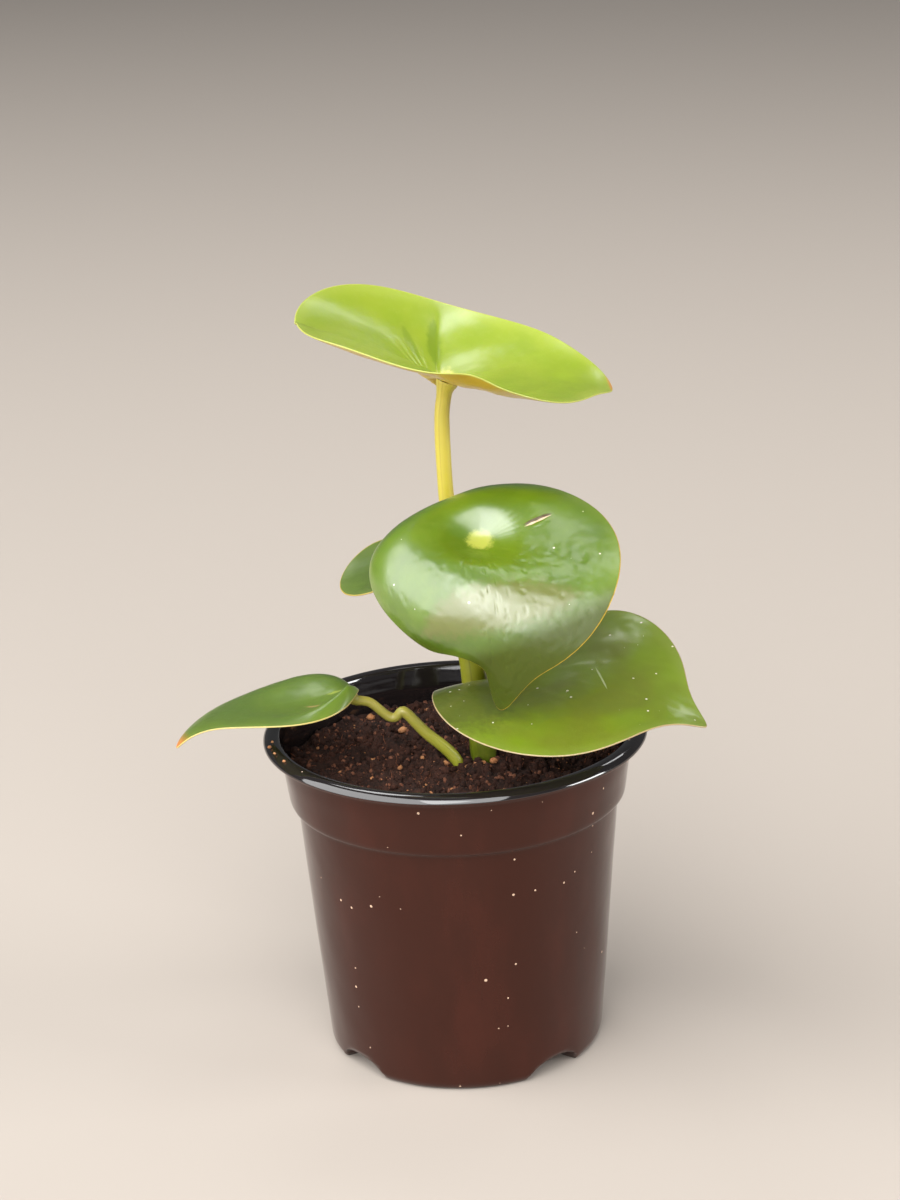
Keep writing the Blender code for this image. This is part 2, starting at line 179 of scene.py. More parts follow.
def cloudy(tree, place, size, detail=3.0, roughness=0.55):
    """Noise from 0 to 1, with patches of one size in millimetres."""
    inputs = {"Vector": place, "Scale": 1.0 / size, "Detail": detail, "Roughness": roughness}
    return add(tree, "ShaderNodeTexNoise", inputs).outputs[0]


def relief(tree, shader, height, depth, over=None):
    """Bump of a depth in millimetres, from a height of 0 to 1, over any bump that is already there."""
    inputs = {"Height": height, "Distance": depth * MM, "Strength": 1.0}
    if over is not None:
        inputs["Normal"] = over
    made = add(tree, "ShaderNodeBump", inputs).outputs[0]
    plug(tree, shader.inputs["Normal"], made)
    return made


def let_light_in(shader, share, reaches, depth):
    """Light enters a share of the surface and comes out near by: how far, in red, green and blue."""
    shader.inputs["Subsurface Weight"].default_value = share
    shader.inputs["Subsurface Radius"].default_value = reaches
    shader.inputs["Subsurface Scale"].default_value = depth * MM


print("patterns are measured in millimetres:", round(1 / MM), "to a metre")

# %% [markdown]
# ## Mesh helpers
#
# The pot, the soil and the blades are all rings of points round a centre, so one function closes them: it
# takes the rings in order, with one point at each end, and makes the quads between them. A value for each
# point, such as how far it is from a leaf's margin, is kept on the mesh as an attribute, and the finish
# reads it by name. The routes of the stalks are smooth lines through a few points. A ramp and a hill are
# the two curves that let a form grow and fade.

# %% Write the mesh helpers


def ring_faces(rings, around):
    """Faces of a closed form: a first point, rings of points, and a last point."""
    last = 1 + rings * around
    faces = []
    for step in range(around):
        following = (step + 1) % around
        faces.append((0, 1 + step, 1 + following))
        faces.append((last, last - around + following, last - around + step))
    for ring in range(rings - 1):
        start = 1 + ring * around
        for step in range(around):
            following = (step + 1) % around
            low, low_next = start + step, start + following
            faces.append((low, low + around, low_next + around, low_next))
    return faces


def keep_values(mesh, name, values):
    """Keeps one value for each point on a mesh, under a name."""
    kept = mesh.attributes.new(name, "FLOAT", "POINT")
    kept.data.foreach_set("value", np.asarray(values, np.float32).ravel())


def new_piece(name, points, faces, finish):
    """A smooth mesh object at the origin, from points in millimetres."""
    mesh = bpy.data.meshes.new(name)
    mesh.from_pydata((np.asarray(points) * MM).tolist(), [], faces)
    mesh.materials.append(finish)
    mesh.shade_smooth()
    piece = bpy.data.objects.new(name, mesh)
    bpy.context.scene.collection.objects.link(piece)
    print(name, "has", len(mesh.polygons), "faces")
    return piece


def plain_mesh(piece):
    """Turns the result of a piece's modifiers into its mesh, and removes them."""
    bpy.context.view_layer.update()
    graph = bpy.context.evaluated_depsgraph_get()
    mesh = bpy.data.meshes.new_from_object(piece.evaluated_get(graph))
    mesh.name = piece.name
    piece.modifiers.clear()
    piece.data = mesh
    print(piece.name, "has", len(mesh.polygons), "faces")
    return piece


print("two rings of four points close with", len(ring_faces(2, 4)), "faces")

# %% Write the line helpers


def smooth_line(points, spacing):
    """Points on a smooth curve through the given ones. The last column may hold a radius."""
    knots = np.asarray(points, float)
    ends = np.vstack([2 * knots[0] - knots[1], knots, 2 * knots[-1] - knots[-2]])
    drawn = []
    for index in range(len(knots) - 1):
        before, start, end, after = ends[index:index + 4]
        count = max(1, round(float(np.linalg.norm(end - start)) / spacing))
        for share in np.arange(count) / count:
            square = (2 * before - 5 * start + 4 * end - after) * share**2
            cube = (3 * start - before - 3 * end + after) * share**3
            drawn.append(0.5 * (2 * start + (end - before) * share + square + cube))
    return np.array(drawn + [knots[-1]])


def past(value, start, run):
    """0 up to a start, then rising evenly to 1 over a run."""
    return np.clip((value - start) / run, 0, 1)


def hill(value, centre, spread):
    """1 at a centre, falling off smoothly to both sides."""
    return np.exp(-(((value - centre) / spread) ** 2))


print("a smooth line through three points has", len(smooth_line([(0, 0), (5, 2), (10, 0)], 1.0)), "points")

# %% [markdown]
# ## The pot
#
# A nursery pot is one thin sheet of plastic, black on one face and brown on the other, drawn over a mould.
# It is a turned form, so its outline is drawn once, from the middle of its floor up the inside, over the
# lip and down the outside. The four drain channels are pressed up into the base, which a turned form can't
# show. Here the same press is worked out as a height: where a point lies over a channel it is lifted to
# the channel's arch. That keeps one even sheet, with the soft corners of drawn plastic. The sheet is also
# never quite true, and its slow waves are what make the reflections on it wander.

# %% Draw the pot's outline
FLOOR_THICKNESS = 0.9
BODY_RADIUS = 50.3
BASE_RADIUS = 43.4
pot_height = pot_high.z / MM
rim_radius = pot_high.x / MM


def pot_outline():
    """Points (radius, height) from the middle of the floor, up the inside, over the lip and down again."""
    inside_foot = ((-2.8, FLOOR_THICKNESS), (-1.5, 1.9), (-0.8, 3.2))
    inside_band = (
        (49.55, 23.2), (49.9, 22.2), (51.9, 20.6), (52.4, 18.0), (53.2, 11.0), (53.6, 7.0), (54.2, 4.0),
    )
    lip = (
        (54.7, 1.6), (55.1, 0.5), (55.9, 0.1), (57.2, 0.0), (58.3, 0.25), (59.2, 0.8), (59.8, 1.5),
        (rim_radius, 2.1),
    )
    under_lip = ((59.8, 2.6), (59.2, 2.7), (58.4, 2.2), (56.8, 1.9), (55.9, 2.2), (55.4, 3.0), (55.1, 4.6))
    band = ((54.7, 5.3), (54.3, 10.0), (53.6, 15.0), (53.0, 19.5), (52.7, 21.0))
    groove = ((52.2, 21.9), (50.9, 22.4), (50.45, 23.2), (BODY_RADIUS, 24.2))
    foot = ((0.4, 3.0), (-0.2, 1.2), (-1.1, 0.25), (-2.1, 0.0))
    drawn = [(0.0, FLOOR_THICKNESS)]
    drawn += [(BASE_RADIUS + out, height) for out, height in inside_foot]
    drawn += [(radius, pot_height - drop) for radius, drop in inside_band + lip]
    turned_over = len(drawn)
    drawn += [(radius, pot_height - drop) for radius, drop in under_lip + band + groove]
    drawn += [(BASE_RADIUS + out, height) for out, height in foot]
    return drawn + [(0.0, 0.0)], turned_over


print("the outline has", len(pot_outline()[0]), "corners and reaches", round(rim_radius, 2), "mm out")

# %% Round the outline's corners
LONGEST_STEP = 2.2
FINE_STEP = 0.45
STRAIGHT_RUN = 8.0  # a longer stretch of the outline stays straight


def fine_outline():
    """The outline with its corners rounded, and a mark that is 0 on the black side and 1 on the brown."""
    points, turned_over = pot_outline()
    drawn, outside = [], []
    for index in range(len(points) - 1):
        start, end = np.array(points[index]), np.array(points[index + 1])
        length = float(np.linalg.norm(end - start))
        count = max(2, math.ceil(length / (LONGEST_STEP if length > STRAIGHT_RUN else FINE_STEP)))
        before = np.array(points[max(index - 1, 0)])
        after = np.array(points[min(index + 2, len(points) - 1)])
        leave = (end - before) * length / max(np.linalg.norm(end - before), 1e-6)
        arrive = (after - start) * length / max(np.linalg.norm(after - start), 1e-6)
        if length > STRAIGHT_RUN or index in (0, len(points) - 2):
            leave = arrive = end - start
        for share in np.arange(count) / count:
            ease = share * share * (3 - 2 * share)
            curl = leave * share * (1 - share) ** 2 - arrive * share**2 * (1 - share)
            drawn.append(start + (end - start) * ease + curl)
            outside.append(float(index >= turned_over - 1))
    return np.array(drawn[1:]), np.array(outside[1:])


outline, outside = fine_outline()
print("outline points:", len(outline), "of which on the brown side:", int(outside.sum()))

# %% Turn the outline and press the channels
POT_SIDES = 320
LIP_DEPTH, WAVE_RUN = 4.0, 12.0  # the wall is true at the lip, and its waves grow below it
FIRST_CHANNEL = 39.0  # degrees round from the front
CHANNEL_TURNS = [math.radians(FIRST_CHANNEL + 90.0 * index) for index in range(4)]
CHANNEL_CENTRE = 50.0
CHANNEL_SIZE = np.array([11.0, 21.0, 6.3])  # half its width, its reach and its height
CHANNEL_WALL = 0.9
CORNER = 1.2


def pressed(points, grow):
    """Lifts the points that lie over a drain channel to its arch."""
    half_width, reach, height = CHANNEL_SIZE + grow
    lifted = points.copy()
    for angle in CHANNEL_TURNS:
        out = points[:, 0] * math.sin(angle) - points[:, 1] * math.cos(angle) - CHANNEL_CENTRE
        side = points[:, 0] * math.cos(angle) + points[:, 1] * math.sin(angle)
        inside = 1 - (side / half_width) ** 2 - (out / reach) ** 2
        arch = height * np.sqrt(np.clip(inside, 0, None))
        corner = CORNER * arch / (arch + 1.0)
        near = np.clip(corner - np.abs(lifted[:, 2] - arch), 0, None)
        rounded = np.maximum(lifted[:, 2], arch) + near**2 / (4 * np.maximum(corner, 1e-6))
        lifted[:, 2] = np.where(arch > 0, rounded, lifted[:, 2])
    return lifted


def wall_waves(angle, height):
    """How far the drawn wall stands out of true, in millimetres: slow swells, then quicker ones."""
    slow = 0.10 * np.sin(5 * angle + 0.06 * height) * np.sin(0.045 * height + 1.0)
    quick = 0.035 * np.sin(17 * angle + 0.16 * height + 2.0) * np.cos(0.11 * height - 3 * angle)
    return slow + quick


angles = np.arange(POT_SIDES) * math.tau / POT_SIDES
below_lip = past(pot_height - outline[:, 1:], LIP_DEPTH, WAVE_RUN)
radius = outline[:, :1] + wall_waves(angles, outline[:, 1:]) * below_lip
height = np.broadcast_to(outline[:, 1:], radius.shape)
turned = np.stack([radius * np.cos(angles), radius * np.sin(angles), height], -1)
inner, outer = turned[outside == 0].reshape(-1, 3), turned[outside == 1].reshape(-1, 3)
rings = np.vstack([pressed(inner, CHANNEL_WALL), pressed(outer, 0.0)])
pot_points = np.vstack([[0, 0, FLOOR_THICKNESS], rings, [0, 0, 0]])
pot_faces = [face[::-1] for face in ring_faces(len(outline), POT_SIDES)]
print("pot points:", len(pot_points), "foot radius:", BASE_RADIUS)

# %% [markdown]
# ## The pot's plastic
#
# The plastic is glossy, so its finish is mostly a clean, low roughness. What keeps it from looking like
# glass is what has happened to it: faint smears where it was handled, fine scuffs, and pale specks of
# dried soil. The brown skin ends on the edge of the lip, where the mark on the mesh changes.

# %% Mix the pot's plastic
POT_BROWN = seen(37, 14, 9)
POT_BROWN_WORN = seen(46, 18, 12)
POT_BLACK = seen(22, 18, 18)
DRIED_SOIL = seen(176, 150, 128)
WHITE = (1.0, 1.0, 1.0, 1.0)
BROWN_TINT = (1.0, 0.6, 0.5, 1.0)
PLASTIC_IOR = 1.49


def dust_specks(tree, place, spacing, size, share):
    """A mask of small round specks: one in some cells of a grid, of uneven size."""
    cells = add(tree, "ShaderNodeTexVoronoi", {"Vector": place, "Scale": 1.0 / spacing, "Randomness": 1.0})
    parts = add(tree, "ShaderNodeSeparateColor", {"Color": cells.outputs["Color"]}).outputs
    chosen = arithmetic(tree, "LESS_THAN", parts[0], share)
    reach = arithmetic(tree, "MULTIPLY", parts[1], size / spacing)
    speck = arithmetic(tree, "LESS_THAN", cells.outputs["Distance"], reach)
    return arithmetic(tree, "MULTIPLY", speck, chosen)


def plastic(name, fresh, worn, tint, shine):
    """One face of the plastic sheet. The tint colours what it mirrors when it is looked at straight on."""
    made, tree, shader = new_finish(name)
    place = object_place(tree)
    smear = cloudy(tree, object_place(tree, (1.0, 1.0, 0.35)), 14.0, 4.0)
    skin = blend_colour(tree, stretch(tree, smear, 0.4, 0.75), fresh, worn)
    specks = dust_specks(tree, place, 3.1, 0.5, 0.22)
    plug(tree, shader.inputs["Base Color"], blend_colour(tree, specks, skin, DRIED_SOIL))
    scuffs = cloudy(tree, object_place(tree, (1.0, 1.0, 3.0)), 2.2, 6.0, 0.7)
    scuffed = stretch(tree, scuffs, 0.55, 0.8, 0.06, 0.14)
    smeared = stretch(tree, smear, 0.45, 0.8, 0.0, 0.08)
    polish = arithmetic(tree, "ADD", scuffed, smeared)
    plug(tree, shader.inputs["Roughness"], arithmetic(tree, "ADD", polish, specks))
    shader.inputs["IOR"].default_value = PLASTIC_IOR
    shader.inputs["Specular Tint"].default_value = tint
    shader.inputs["Specular IOR Level"].default_value = shine
    ripple = relief(tree, shader, cloudy(tree, place, 9.0, 1.0), 0.10)
    relief(tree, shader, cloudy(tree, place, 0.7, 2.0), 0.004, ripple)
    return made


black = plastic("black plastic", POT_BLACK, POT_BLACK, WHITE, 0.9)
pot = new_piece("nursery_pot", pot_points, pot_faces, black)
pot.data.materials.append(plastic("brown plastic", POT_BROWN, POT_BROWN_WORN, BROWN_TINT, 0.5))
mark = np.concatenate([[0], np.repeat(outside, POT_SIDES), [1]])
pot.data.polygons.foreach_set("material_index", [int(mark[list(face)].min()) for face in pot_faces])

# %% [markdown]
# ## The drain holes
#
# A hole through the roof of each channel is the one thing that a lifted height can't make, so it is cut
# with a Boolean, as it is punched on the real pot. The rods that cut are removed afterwards.

# %% Punch the drain holes
DRAIN_RADIUS = 2.4
DRAIN_CENTRE = 38.5
DRAIN_LENGTH = 16.0
DRAIN_MIDDLE = 6.0
DRAIN_SIDES = 40

rods = bpy.data.collections.new("drain rods")
for angle in CHANNEL_TURNS:
    middle = (DRAIN_CENTRE * math.sin(angle), -DRAIN_CENTRE * math.cos(angle), DRAIN_MIDDLE)
    bpy.ops.mesh.primitive_cylinder_add(
        vertices=DRAIN_SIDES, radius=DRAIN_RADIUS * MM, depth=DRAIN_LENGTH * MM,
        location=[axis * MM for axis in middle],
    )
    rods.objects.link(bpy.context.object)
punch = pot.modifiers.new("drain holes", "BOOLEAN")
punch.operand_type = "COLLECTION"
punch.collection = rods
plain_mesh(pot)
for rod in list(rods.objects):
    bpy.data.objects.remove(rod)

# %% [markdown]
# ## The soil
#
# Potting peat is a heap of crumbs and short fibres, not a surface with a pattern on it. So there are two
# layers. Under everything is one solid body that fills the pot, with a lumpy top. On it lie loose crumbs
# and fibres, made in the next steps. The body's top follows the lumps of the frame's soil and adds finer
# ones.

# %% Shape the body of the soil
SOIL_LEVEL = 93.0
SOIL_EDGE = 52.7
SOIL_SIDES = 280
SOIL_RINGS = 84
SOIL_GAP = 0.3  # between the soil and the roof of a channel
FOOT_TOP = 40.0  # only what is below this can lie over a channel


def soil_relief(x, y):
    """Height of the soil's top over its level, in millimetres: the frame's lumps, then finer ones."""
    swell = 0.7 * math.sin(0.11 * x + 0.6) * math.cos(0.13 * y)
    clods = 0.55 * math.sin(0.37 * x + 0.21 * y) + 0.45 * math.sin(0.43 * y - 0.29 * x + 1.3)
    lumps = 1.9 * noise.fractal(Vector((x, y, 3.0)) * 0.16, 0.6, 2.1, 5)
    grains = 0.55 * noise.fractal(Vector((x, y, 9.0)) * 0.9, 0.7, 2.2, 3)
    return swell + clods + lumps + grains


def soil_points():
    """Points of the body of the soil, ring by ring from the middle of its top, and how many rings."""
    angles = np.arange(SOIL_SIDES) * math.tau / SOIL_SIDES
    points = [(0.0, 0.0, SOIL_LEVEL + soil_relief(0.0, 0.0))]
    for ring in range(1, SOIL_RINGS + 1):
        reach = SOIL_EDGE * ring / SOIL_RINGS
        hold = min(1.0, (SOIL_EDGE - reach) / 2.0 + 0.35)
        for angle in angles:
            x, y = reach * math.cos(angle), reach * math.sin(angle)
            points.append((x, y, SOIL_LEVEL + soil_relief(x, y) * hold))
    side = ((52.2, 87.5), (51.6, 84.6), (49.6, 82.8), (49.25, 81.8), (42.3, 3.2), (41.6, 2.0), (40.3, 1.2))
    for reach, height in side:
        points += [(reach * math.cos(angle), reach * math.sin(angle), height) for angle in angles]
    points = np.array(points + [(0.0, 0.0, 1.2)])
    low = points[:, 2] < FOOT_TOP
    points[low] = pressed(points[low], CHANNEL_WALL + SOIL_GAP)
    return points, SOIL_RINGS + len(side)


def peat(name, dark, light):
    """Dull, uneven peat, which is lighter on its dry points."""
    made, tree, shader = new_finish(name)
    place = object_place(tree)
    patches = stretch(tree, cloudy(tree, place, 6.0, 4.0), 0.35, 0.7)
    grains = stretch(tree, cloudy(tree, place, 0.6, 3.0, 0.7), 0.35, 0.7)
    mixed = arithmetic(tree, "MULTIPLY", arithmetic(tree, "ADD", patches, grains), 0.5)
    plug(tree, shader.inputs["Base Color"], blend_colour(tree, mixed, dark, light))
    shader.inputs["Roughness"].default_value = 0.92
    shader.inputs["Specular IOR Level"].default_value = 0.25
    relief(tree, shader, cloudy(tree, place, 0.35, 4.0, 0.7), 0.15)
    return made


soil_form, soil_ring_count = soil_points()
damp_peat = peat("peat", seen(21, 11, 7), seen(60, 34, 24))
soil = new_piece("soil_body", soil_form, ring_faces(soil_ring_count, SOIL_SIDES), damp_peat)

# %% [markdown]
# ## The stem and the leaf stalks
#
# Each stalk is a fleshy round tube that follows a route, is thicker at some places than at others, and
# widens where it joins the stem or the blade. A route with a radius at each point is all the design there
# is, so Geometry Nodes build the tube: the route becomes a curve, its radius comes from the points, a
# circle is swept along it, and a soft noise pushes the skin in and out. The routes are those of the
# frame's solids.

# %% Write the tree helpers


def new_tree(name, inputs):
    """A Geometry Nodes tree with a geometry going in and out, and these named inputs."""
    tree = bpy.data.node_groups.new(name, "GeometryNodeTree")
    tree.interface.new_socket("Geometry", in_out="INPUT", socket_type="NodeSocketGeometry")
    tree.interface.new_socket("Geometry", in_out="OUTPUT", socket_type="NodeSocketGeometry")
    for label, kind in inputs:
        tree.interface.new_socket(label, in_out="INPUT", socket_type="NodeSocket" + kind)
    return tree, tree.nodes.new("NodeGroupInput").outputs, tree.nodes.new("NodeGroupOutput").inputs


def built_by(tree, name, mesh, chosen):
    """A mesh run through a tree with these named inputs, as a plain mesh of its own."""
    piece = bpy.data.objects.new(name, mesh)
    bpy.context.scene.collection.objects.link(piece)
    build = piece.modifiers.new(tree.name, "NODES")
    build.node_group = tree
    for socket in tree.interface.items_tree:
        if socket.name in chosen:
            build[socket.identifier] = chosen[socket.name]
    return plain_mesh(piece)


def end_tree(tree, geometry, finish, out):
    """Ends a tree as every tree here ends: instances made real, then the finish."""
    real = add(tree, "GeometryNodeRealizeInstances", {0: geometry}).outputs[0]
    smooth = add(tree, "GeometryNodeSetShadeSmooth", {0: real}).outputs[0]
    done = add(tree, "GeometryNodeSetMaterial", {"Geometry": smooth, "Material": finish}).outputs[0]
    plug(tree, out[0], done)


def named_value(tree, name):
    """A value that the points keep under a name, in a Geometry Nodes tree."""
    return add(tree, "GeometryNodeInputNamedAttribute", {"Name": name}, data_type="FLOAT").outputs[0]


def keep_value(tree, geometry, name, value):
    """Keeps a value for each point under a name, in a Geometry Nodes tree."""
    inputs = {"Geometry": geometry, "Name": name, "Value": value}
    return add(tree, "GeometryNodeStoreNamedAttribute", inputs, data_type="FLOAT", domain="POINT").outputs[0]


def pushed_by_noise(tree, geometry, size, depth):
    """Moves each point along its normal by a soft noise, in metres."""
    wave = add(tree, "ShaderNodeTexNoise", {"Scale": size, "Detail": 2.0}).outputs[0]
    push = arithmetic(tree, "MULTIPLY", arithmetic(tree, "SUBTRACT", wave, 0.5), depth)
    normal = add(tree, "GeometryNodeInputNormal").outputs[0]
    offset = add(tree, "ShaderNodeVectorMath", {0: normal, "Scale": push}, operation="SCALE").outputs[0]
    return add(tree, "GeometryNodeSetPosition", {"Geometry": geometry, "Offset": offset}).outputs[0]


print("node trees so far:", len(bpy.data.node_groups))

# %% Build the stalk tree


def stalk_tree():
    """Sweeps a circle along a route, as wide as the route's own radius, and makes its skin uneven."""
    inputs = (("Sides", "Int"), ("Lumps per metre", "Float"), ("Lump depth", "Float"), ("Finish", "Material"))
    tree, given, out = new_tree("grown stalk", inputs)
    route = add(tree, "GeometryNodeMeshToCurve", {0: given["Geometry"]}).outputs[0]
    route = keep_value(tree, route, "along", add(tree, "GeometryNodeSplineParameter").outputs["Factor"])
    inputs = {"Resolution": given["Sides"], "Radius": 1.0}
    circle = add(tree, "GeometryNodeCurvePrimitiveCircle", inputs).outputs[0]
    circle = keep_value(tree, circle, "around", add(tree, "GeometryNodeSplineParameter").outputs["Factor"])
    sweep = {"Curve": route, "Profile Curve": circle, "Scale": named_value(tree, "radius"), "Fill Caps": True}
    tube = add(tree, "GeometryNodeCurveToMesh", sweep).outputs[0]
    tube = pushed_by_noise(tree, tube, given["Lumps per metre"], given["Lump depth"])
    end_tree(tree, tube, given["Finish"], out)
    return tree


STALK_TREE = stalk_tree()
print("stalk tree has", len(STALK_TREE.nodes), "nodes")

# %% [markdown]
# ## The leaves' plan
#
# A blade of this plant is a drop: an oval drawn out to a tip, with its stalk joined well inside its
# outline. It isn't flat. Round the stalk it is dished, and from there each direction bends by its own
# amount towards the edge. So a blade is a set of spokes: each keeps its length and follows a slope that
# changes along it. The numbers are the frame's own, so that the fine blades lie where its solids lie. Only
# the front blade's pinch is stronger, because its tip is narrower on the left than its solid's.

# %% Write down the leaves
LEAVES = {  # millimetres and degrees
    "top": {
        "attach": (2, 3.7, 214.4), "heading": 12, "rise": -18.5, "roll": 3,
        "length": 102, "width": 79, "base": 50, "tip": 6.5, "tip_spread": 16,
        "dish": 13, "dish_reach": 21, "dish_waves": ((1.5, -5.5), (3, 4.5)),
        "bend": -26.5, "bend_waves": ((-11, -23), (11, 1.5), (-2, -5)),
        "bend_power": 1.44, "hook": 27.5, "lift": 24, "lift_at": -149.5,
        "pinch": (0.0, 0, 20),
    },
    "front": {
        "attach": (9.2, -33.9, 175.1), "heading": -78, "rise": -27.5, "roll": 1.5,
        "length": 89.5, "width": 79, "base": 27.5, "tip": 12.5, "tip_spread": 11,
        "dish": 19.5, "dish_reach": 21, "dish_waves": ((-7.5, -4.5), (7.5, -5.5)),
        "bend": 67.5, "bend_waves": ((14.5, -50), (27, -25), (-2, -13)),
        "bend_power": 1.63, "hook": -26, "lift": -11.5, "lift_at": 25,
        "pinch": (0.58, -25, 22),
    },
    "right": {
        "attach": (18.2, -20.8, 125.8), "heading": -29.5, "rise": 6, "roll": 12.5,
        "length": 85.5, "width": 79.5, "base": 21.5, "tip": 9.5, "tip_spread": 14.5,
        "dish": 11, "dish_reach": 13, "dish_waves": ((1.5, -16.5), (-1.5, 8.5)),
        "bend": 19.5, "bend_waves": ((-9, 12.5), (18.5, -23.5), (3, 5)),
        "bend_power": 1.58, "hook": 29.5, "lift": 43, "lift_at": -11,
        "pinch": (0.25, 0, 16),
    },
    "left": {
        "attach": (-32.1, -1, 118.2), "heading": 194, "rise": 7.5, "roll": 13.5,
        "length": 60.8, "width": 40, "base": 2.3, "tip": 9, "tip_spread": 22,
        "dish": 3, "dish_reach": 18, "dish_waves": ((-9, -8.5), (-15, -17)),
        "bend": 27, "bend_waves": ((-17.5, -5), (13.5, -1), (-8.5, -5)),
        "bend_power": 1.81, "hook": 18, "lift": -9, "lift_at": 95.5,
        "pinch": (0.0, 0, 20),
    },
    "back": {
        "attach": (-3.6, 30, 147.1), "heading": 92, "rise": -16.5, "roll": -14,
        "length": 51, "width": 63, "base": 22, "tip": 6.5, "tip_spread": 16,
        "dish": 5, "dish_reach": 18, "dish_waves": ((4.5, 11), (3.5, 3)),
        "bend": -10.5, "bend_waves": ((-16.5, -11.5), (4, -23), (9, -11.5)),
        "bend_power": 1.71, "hook": 0, "lift": -24, "lift_at": 79,
        "pinch": (0.0, 0, 20),
    },
}


def blade_turn(leaf):
    """The rotation of a blade: its tip along the first column, its upper side along the third."""
    heading = Matrix.Rotation(math.radians(leaf["heading"]), 3, "Z")
    rise = Matrix.Rotation(math.radians(-leaf["rise"]), 3, "Y")
    roll = Matrix.Rotation(math.radians(leaf["roll"]), 3, "X")
    return np.array(heading @ rise @ roll)


print("leaves:", ", ".join(LEAVES))

# %% [markdown]
# The routes of the stem and the stalks follow, as points and a radius at each. A stalk comes in under its
# blade, square to it or leaning from its base, so its last points come from the leaf.

# %% Lay out the stem and the stalks
STEM = (
    (10.2, 1.0, 79.0, 4.1), (8.6, 1.0, 93.0, 4.0), (7.6, 1.1, 108.0, 4.0),
    (6.1, 1.5, 123.0, 3.9), (4.6, 1.9, 136.0, 3.7), (3.0, 2.3, 149.0, 3.3),
)
STALKS = {
    "top": (
        (2.95, 2.3, 149.6, 2.8), (1.4, 2.7, 164.0, 2.5), (0.2, 3.2, 177.0, 2.4),
        (-0.3, 3.6, 192.0, 2.35), (-0.2, 3.9, 203.0, 2.3), (0.5, 3.8, 208.5, 2.3),
    ),
    "front": (
        (5.0, 1.8, 133.0, 2.4), (5.6, -7.5, 140.0, 2.2), (7.5, -19.0, 151.0, 2.1), (8.9, -28.5, 163.0, 2.0),
    ),
    "right": ((7.4, 1.1, 107.0, 2.4), (11.5, -6.0, 111.0, 2.2), (15.5, -14.5, 117.0, 2.1)),
    "back": (
        (12.6, 9.2, 79.0, 1.7), (12.2, 9.0, 93.0, 1.6), (11.6, 9.4, 107.0, 1.3),
        (10.2, 12.0, 122.0, 1.3), (5.0, 19.5, 136.0, 1.3), (-1.0, 26.5, 143.0, 1.4),
    ),
    "left": (
        (2.6, -3.6, 82.0, 2.0), (-0.3, -1.0, 93.4, 2.0), (-9.5, -1.0, 103.1, 1.8),
        (-14.6, -1.0, 109.0, 1.7), (-16.4, -0.9, 110.0, 1.6), (-18.2, -0.6, 108.2, 1.5),
        (-20.7, -0.4, 108.5, 1.5), (-26.0, -0.7, 113.3, 1.45),
    ),
}
STALK_ENDS = {  # how far each leans from square under its blade, its radius, and how far it stops short
    "top": (0.0, 2.4, 0.5), "front": (15.0, 2.1, 1.6), "right": (25.0, 2.1, 0.1),
    "back": (20.0, 1.6, 0.1), "left": (50.0, 1.5, 0.1),
}
STALK_END_RUN = 2.5
END_FLARE = 1.45


def stalk_line(name):
    """A stalk's route with its last two points under the blade."""
    leaf = LEAVES[name]
    degrees, radius, short = STALK_ENDS[name]
    lean = math.radians(degrees)
    tip_way, _, upper_side = blade_turn(leaf).T
    end = np.array(leaf["attach"]) - upper_side * (END_FLARE * radius * math.sin(lean) + short)
    below = end - (upper_side * math.cos(lean) + tip_way * math.sin(lean)) * STALK_END_RUN
    return list(STALKS[name]) + [(*below, radius), (*end, radius)]


def flared(line, start, end, run):
    """Widens a route's radius by a share at its start and its end, over a run in millimetres."""
    steps = np.linalg.norm(np.diff(line[:, :3], axis=0), axis=1)
    from_start = np.concatenate([[0], np.cumsum(steps)])
    from_end = from_start[-1] - from_start
    line[:, 3] *= 1 + start * np.exp(-((from_start / run) ** 2)) + end * np.exp(-((from_end / run) ** 2))
    return line


print("stalks:", {name: len(stalk_line(name)) for name in STALKS})

# %% [markdown]
# ## The skin of the stalks
#
# Stalks are pale and a little see-through, so light that enters the skin comes out near by: that is
# subsurface scattering, with a short reach. Their colour changes along them, from a darker foot to a
# yellower neck, and fine darker lines run along them. Both follow the stalk itself, so they read the
# values that the tree kept, along and around, and not the place in space.

# %% Grow the stem and the stalks
STALK_SIDES = 36
STALK_STEP = 0.7
LUMPS_PER_METRE = 130.0
STEM_LUMPS, STALK_LUMPS = 0.5, 0.22  # how deep, in millimetres
STEM_FLARE, STEM_FLARE_RUN = 0.06, 10.0
STALK_FLARE, STALK_FLARE_RUN = 0.3, 2.2
LINES_AROUND = 26.0


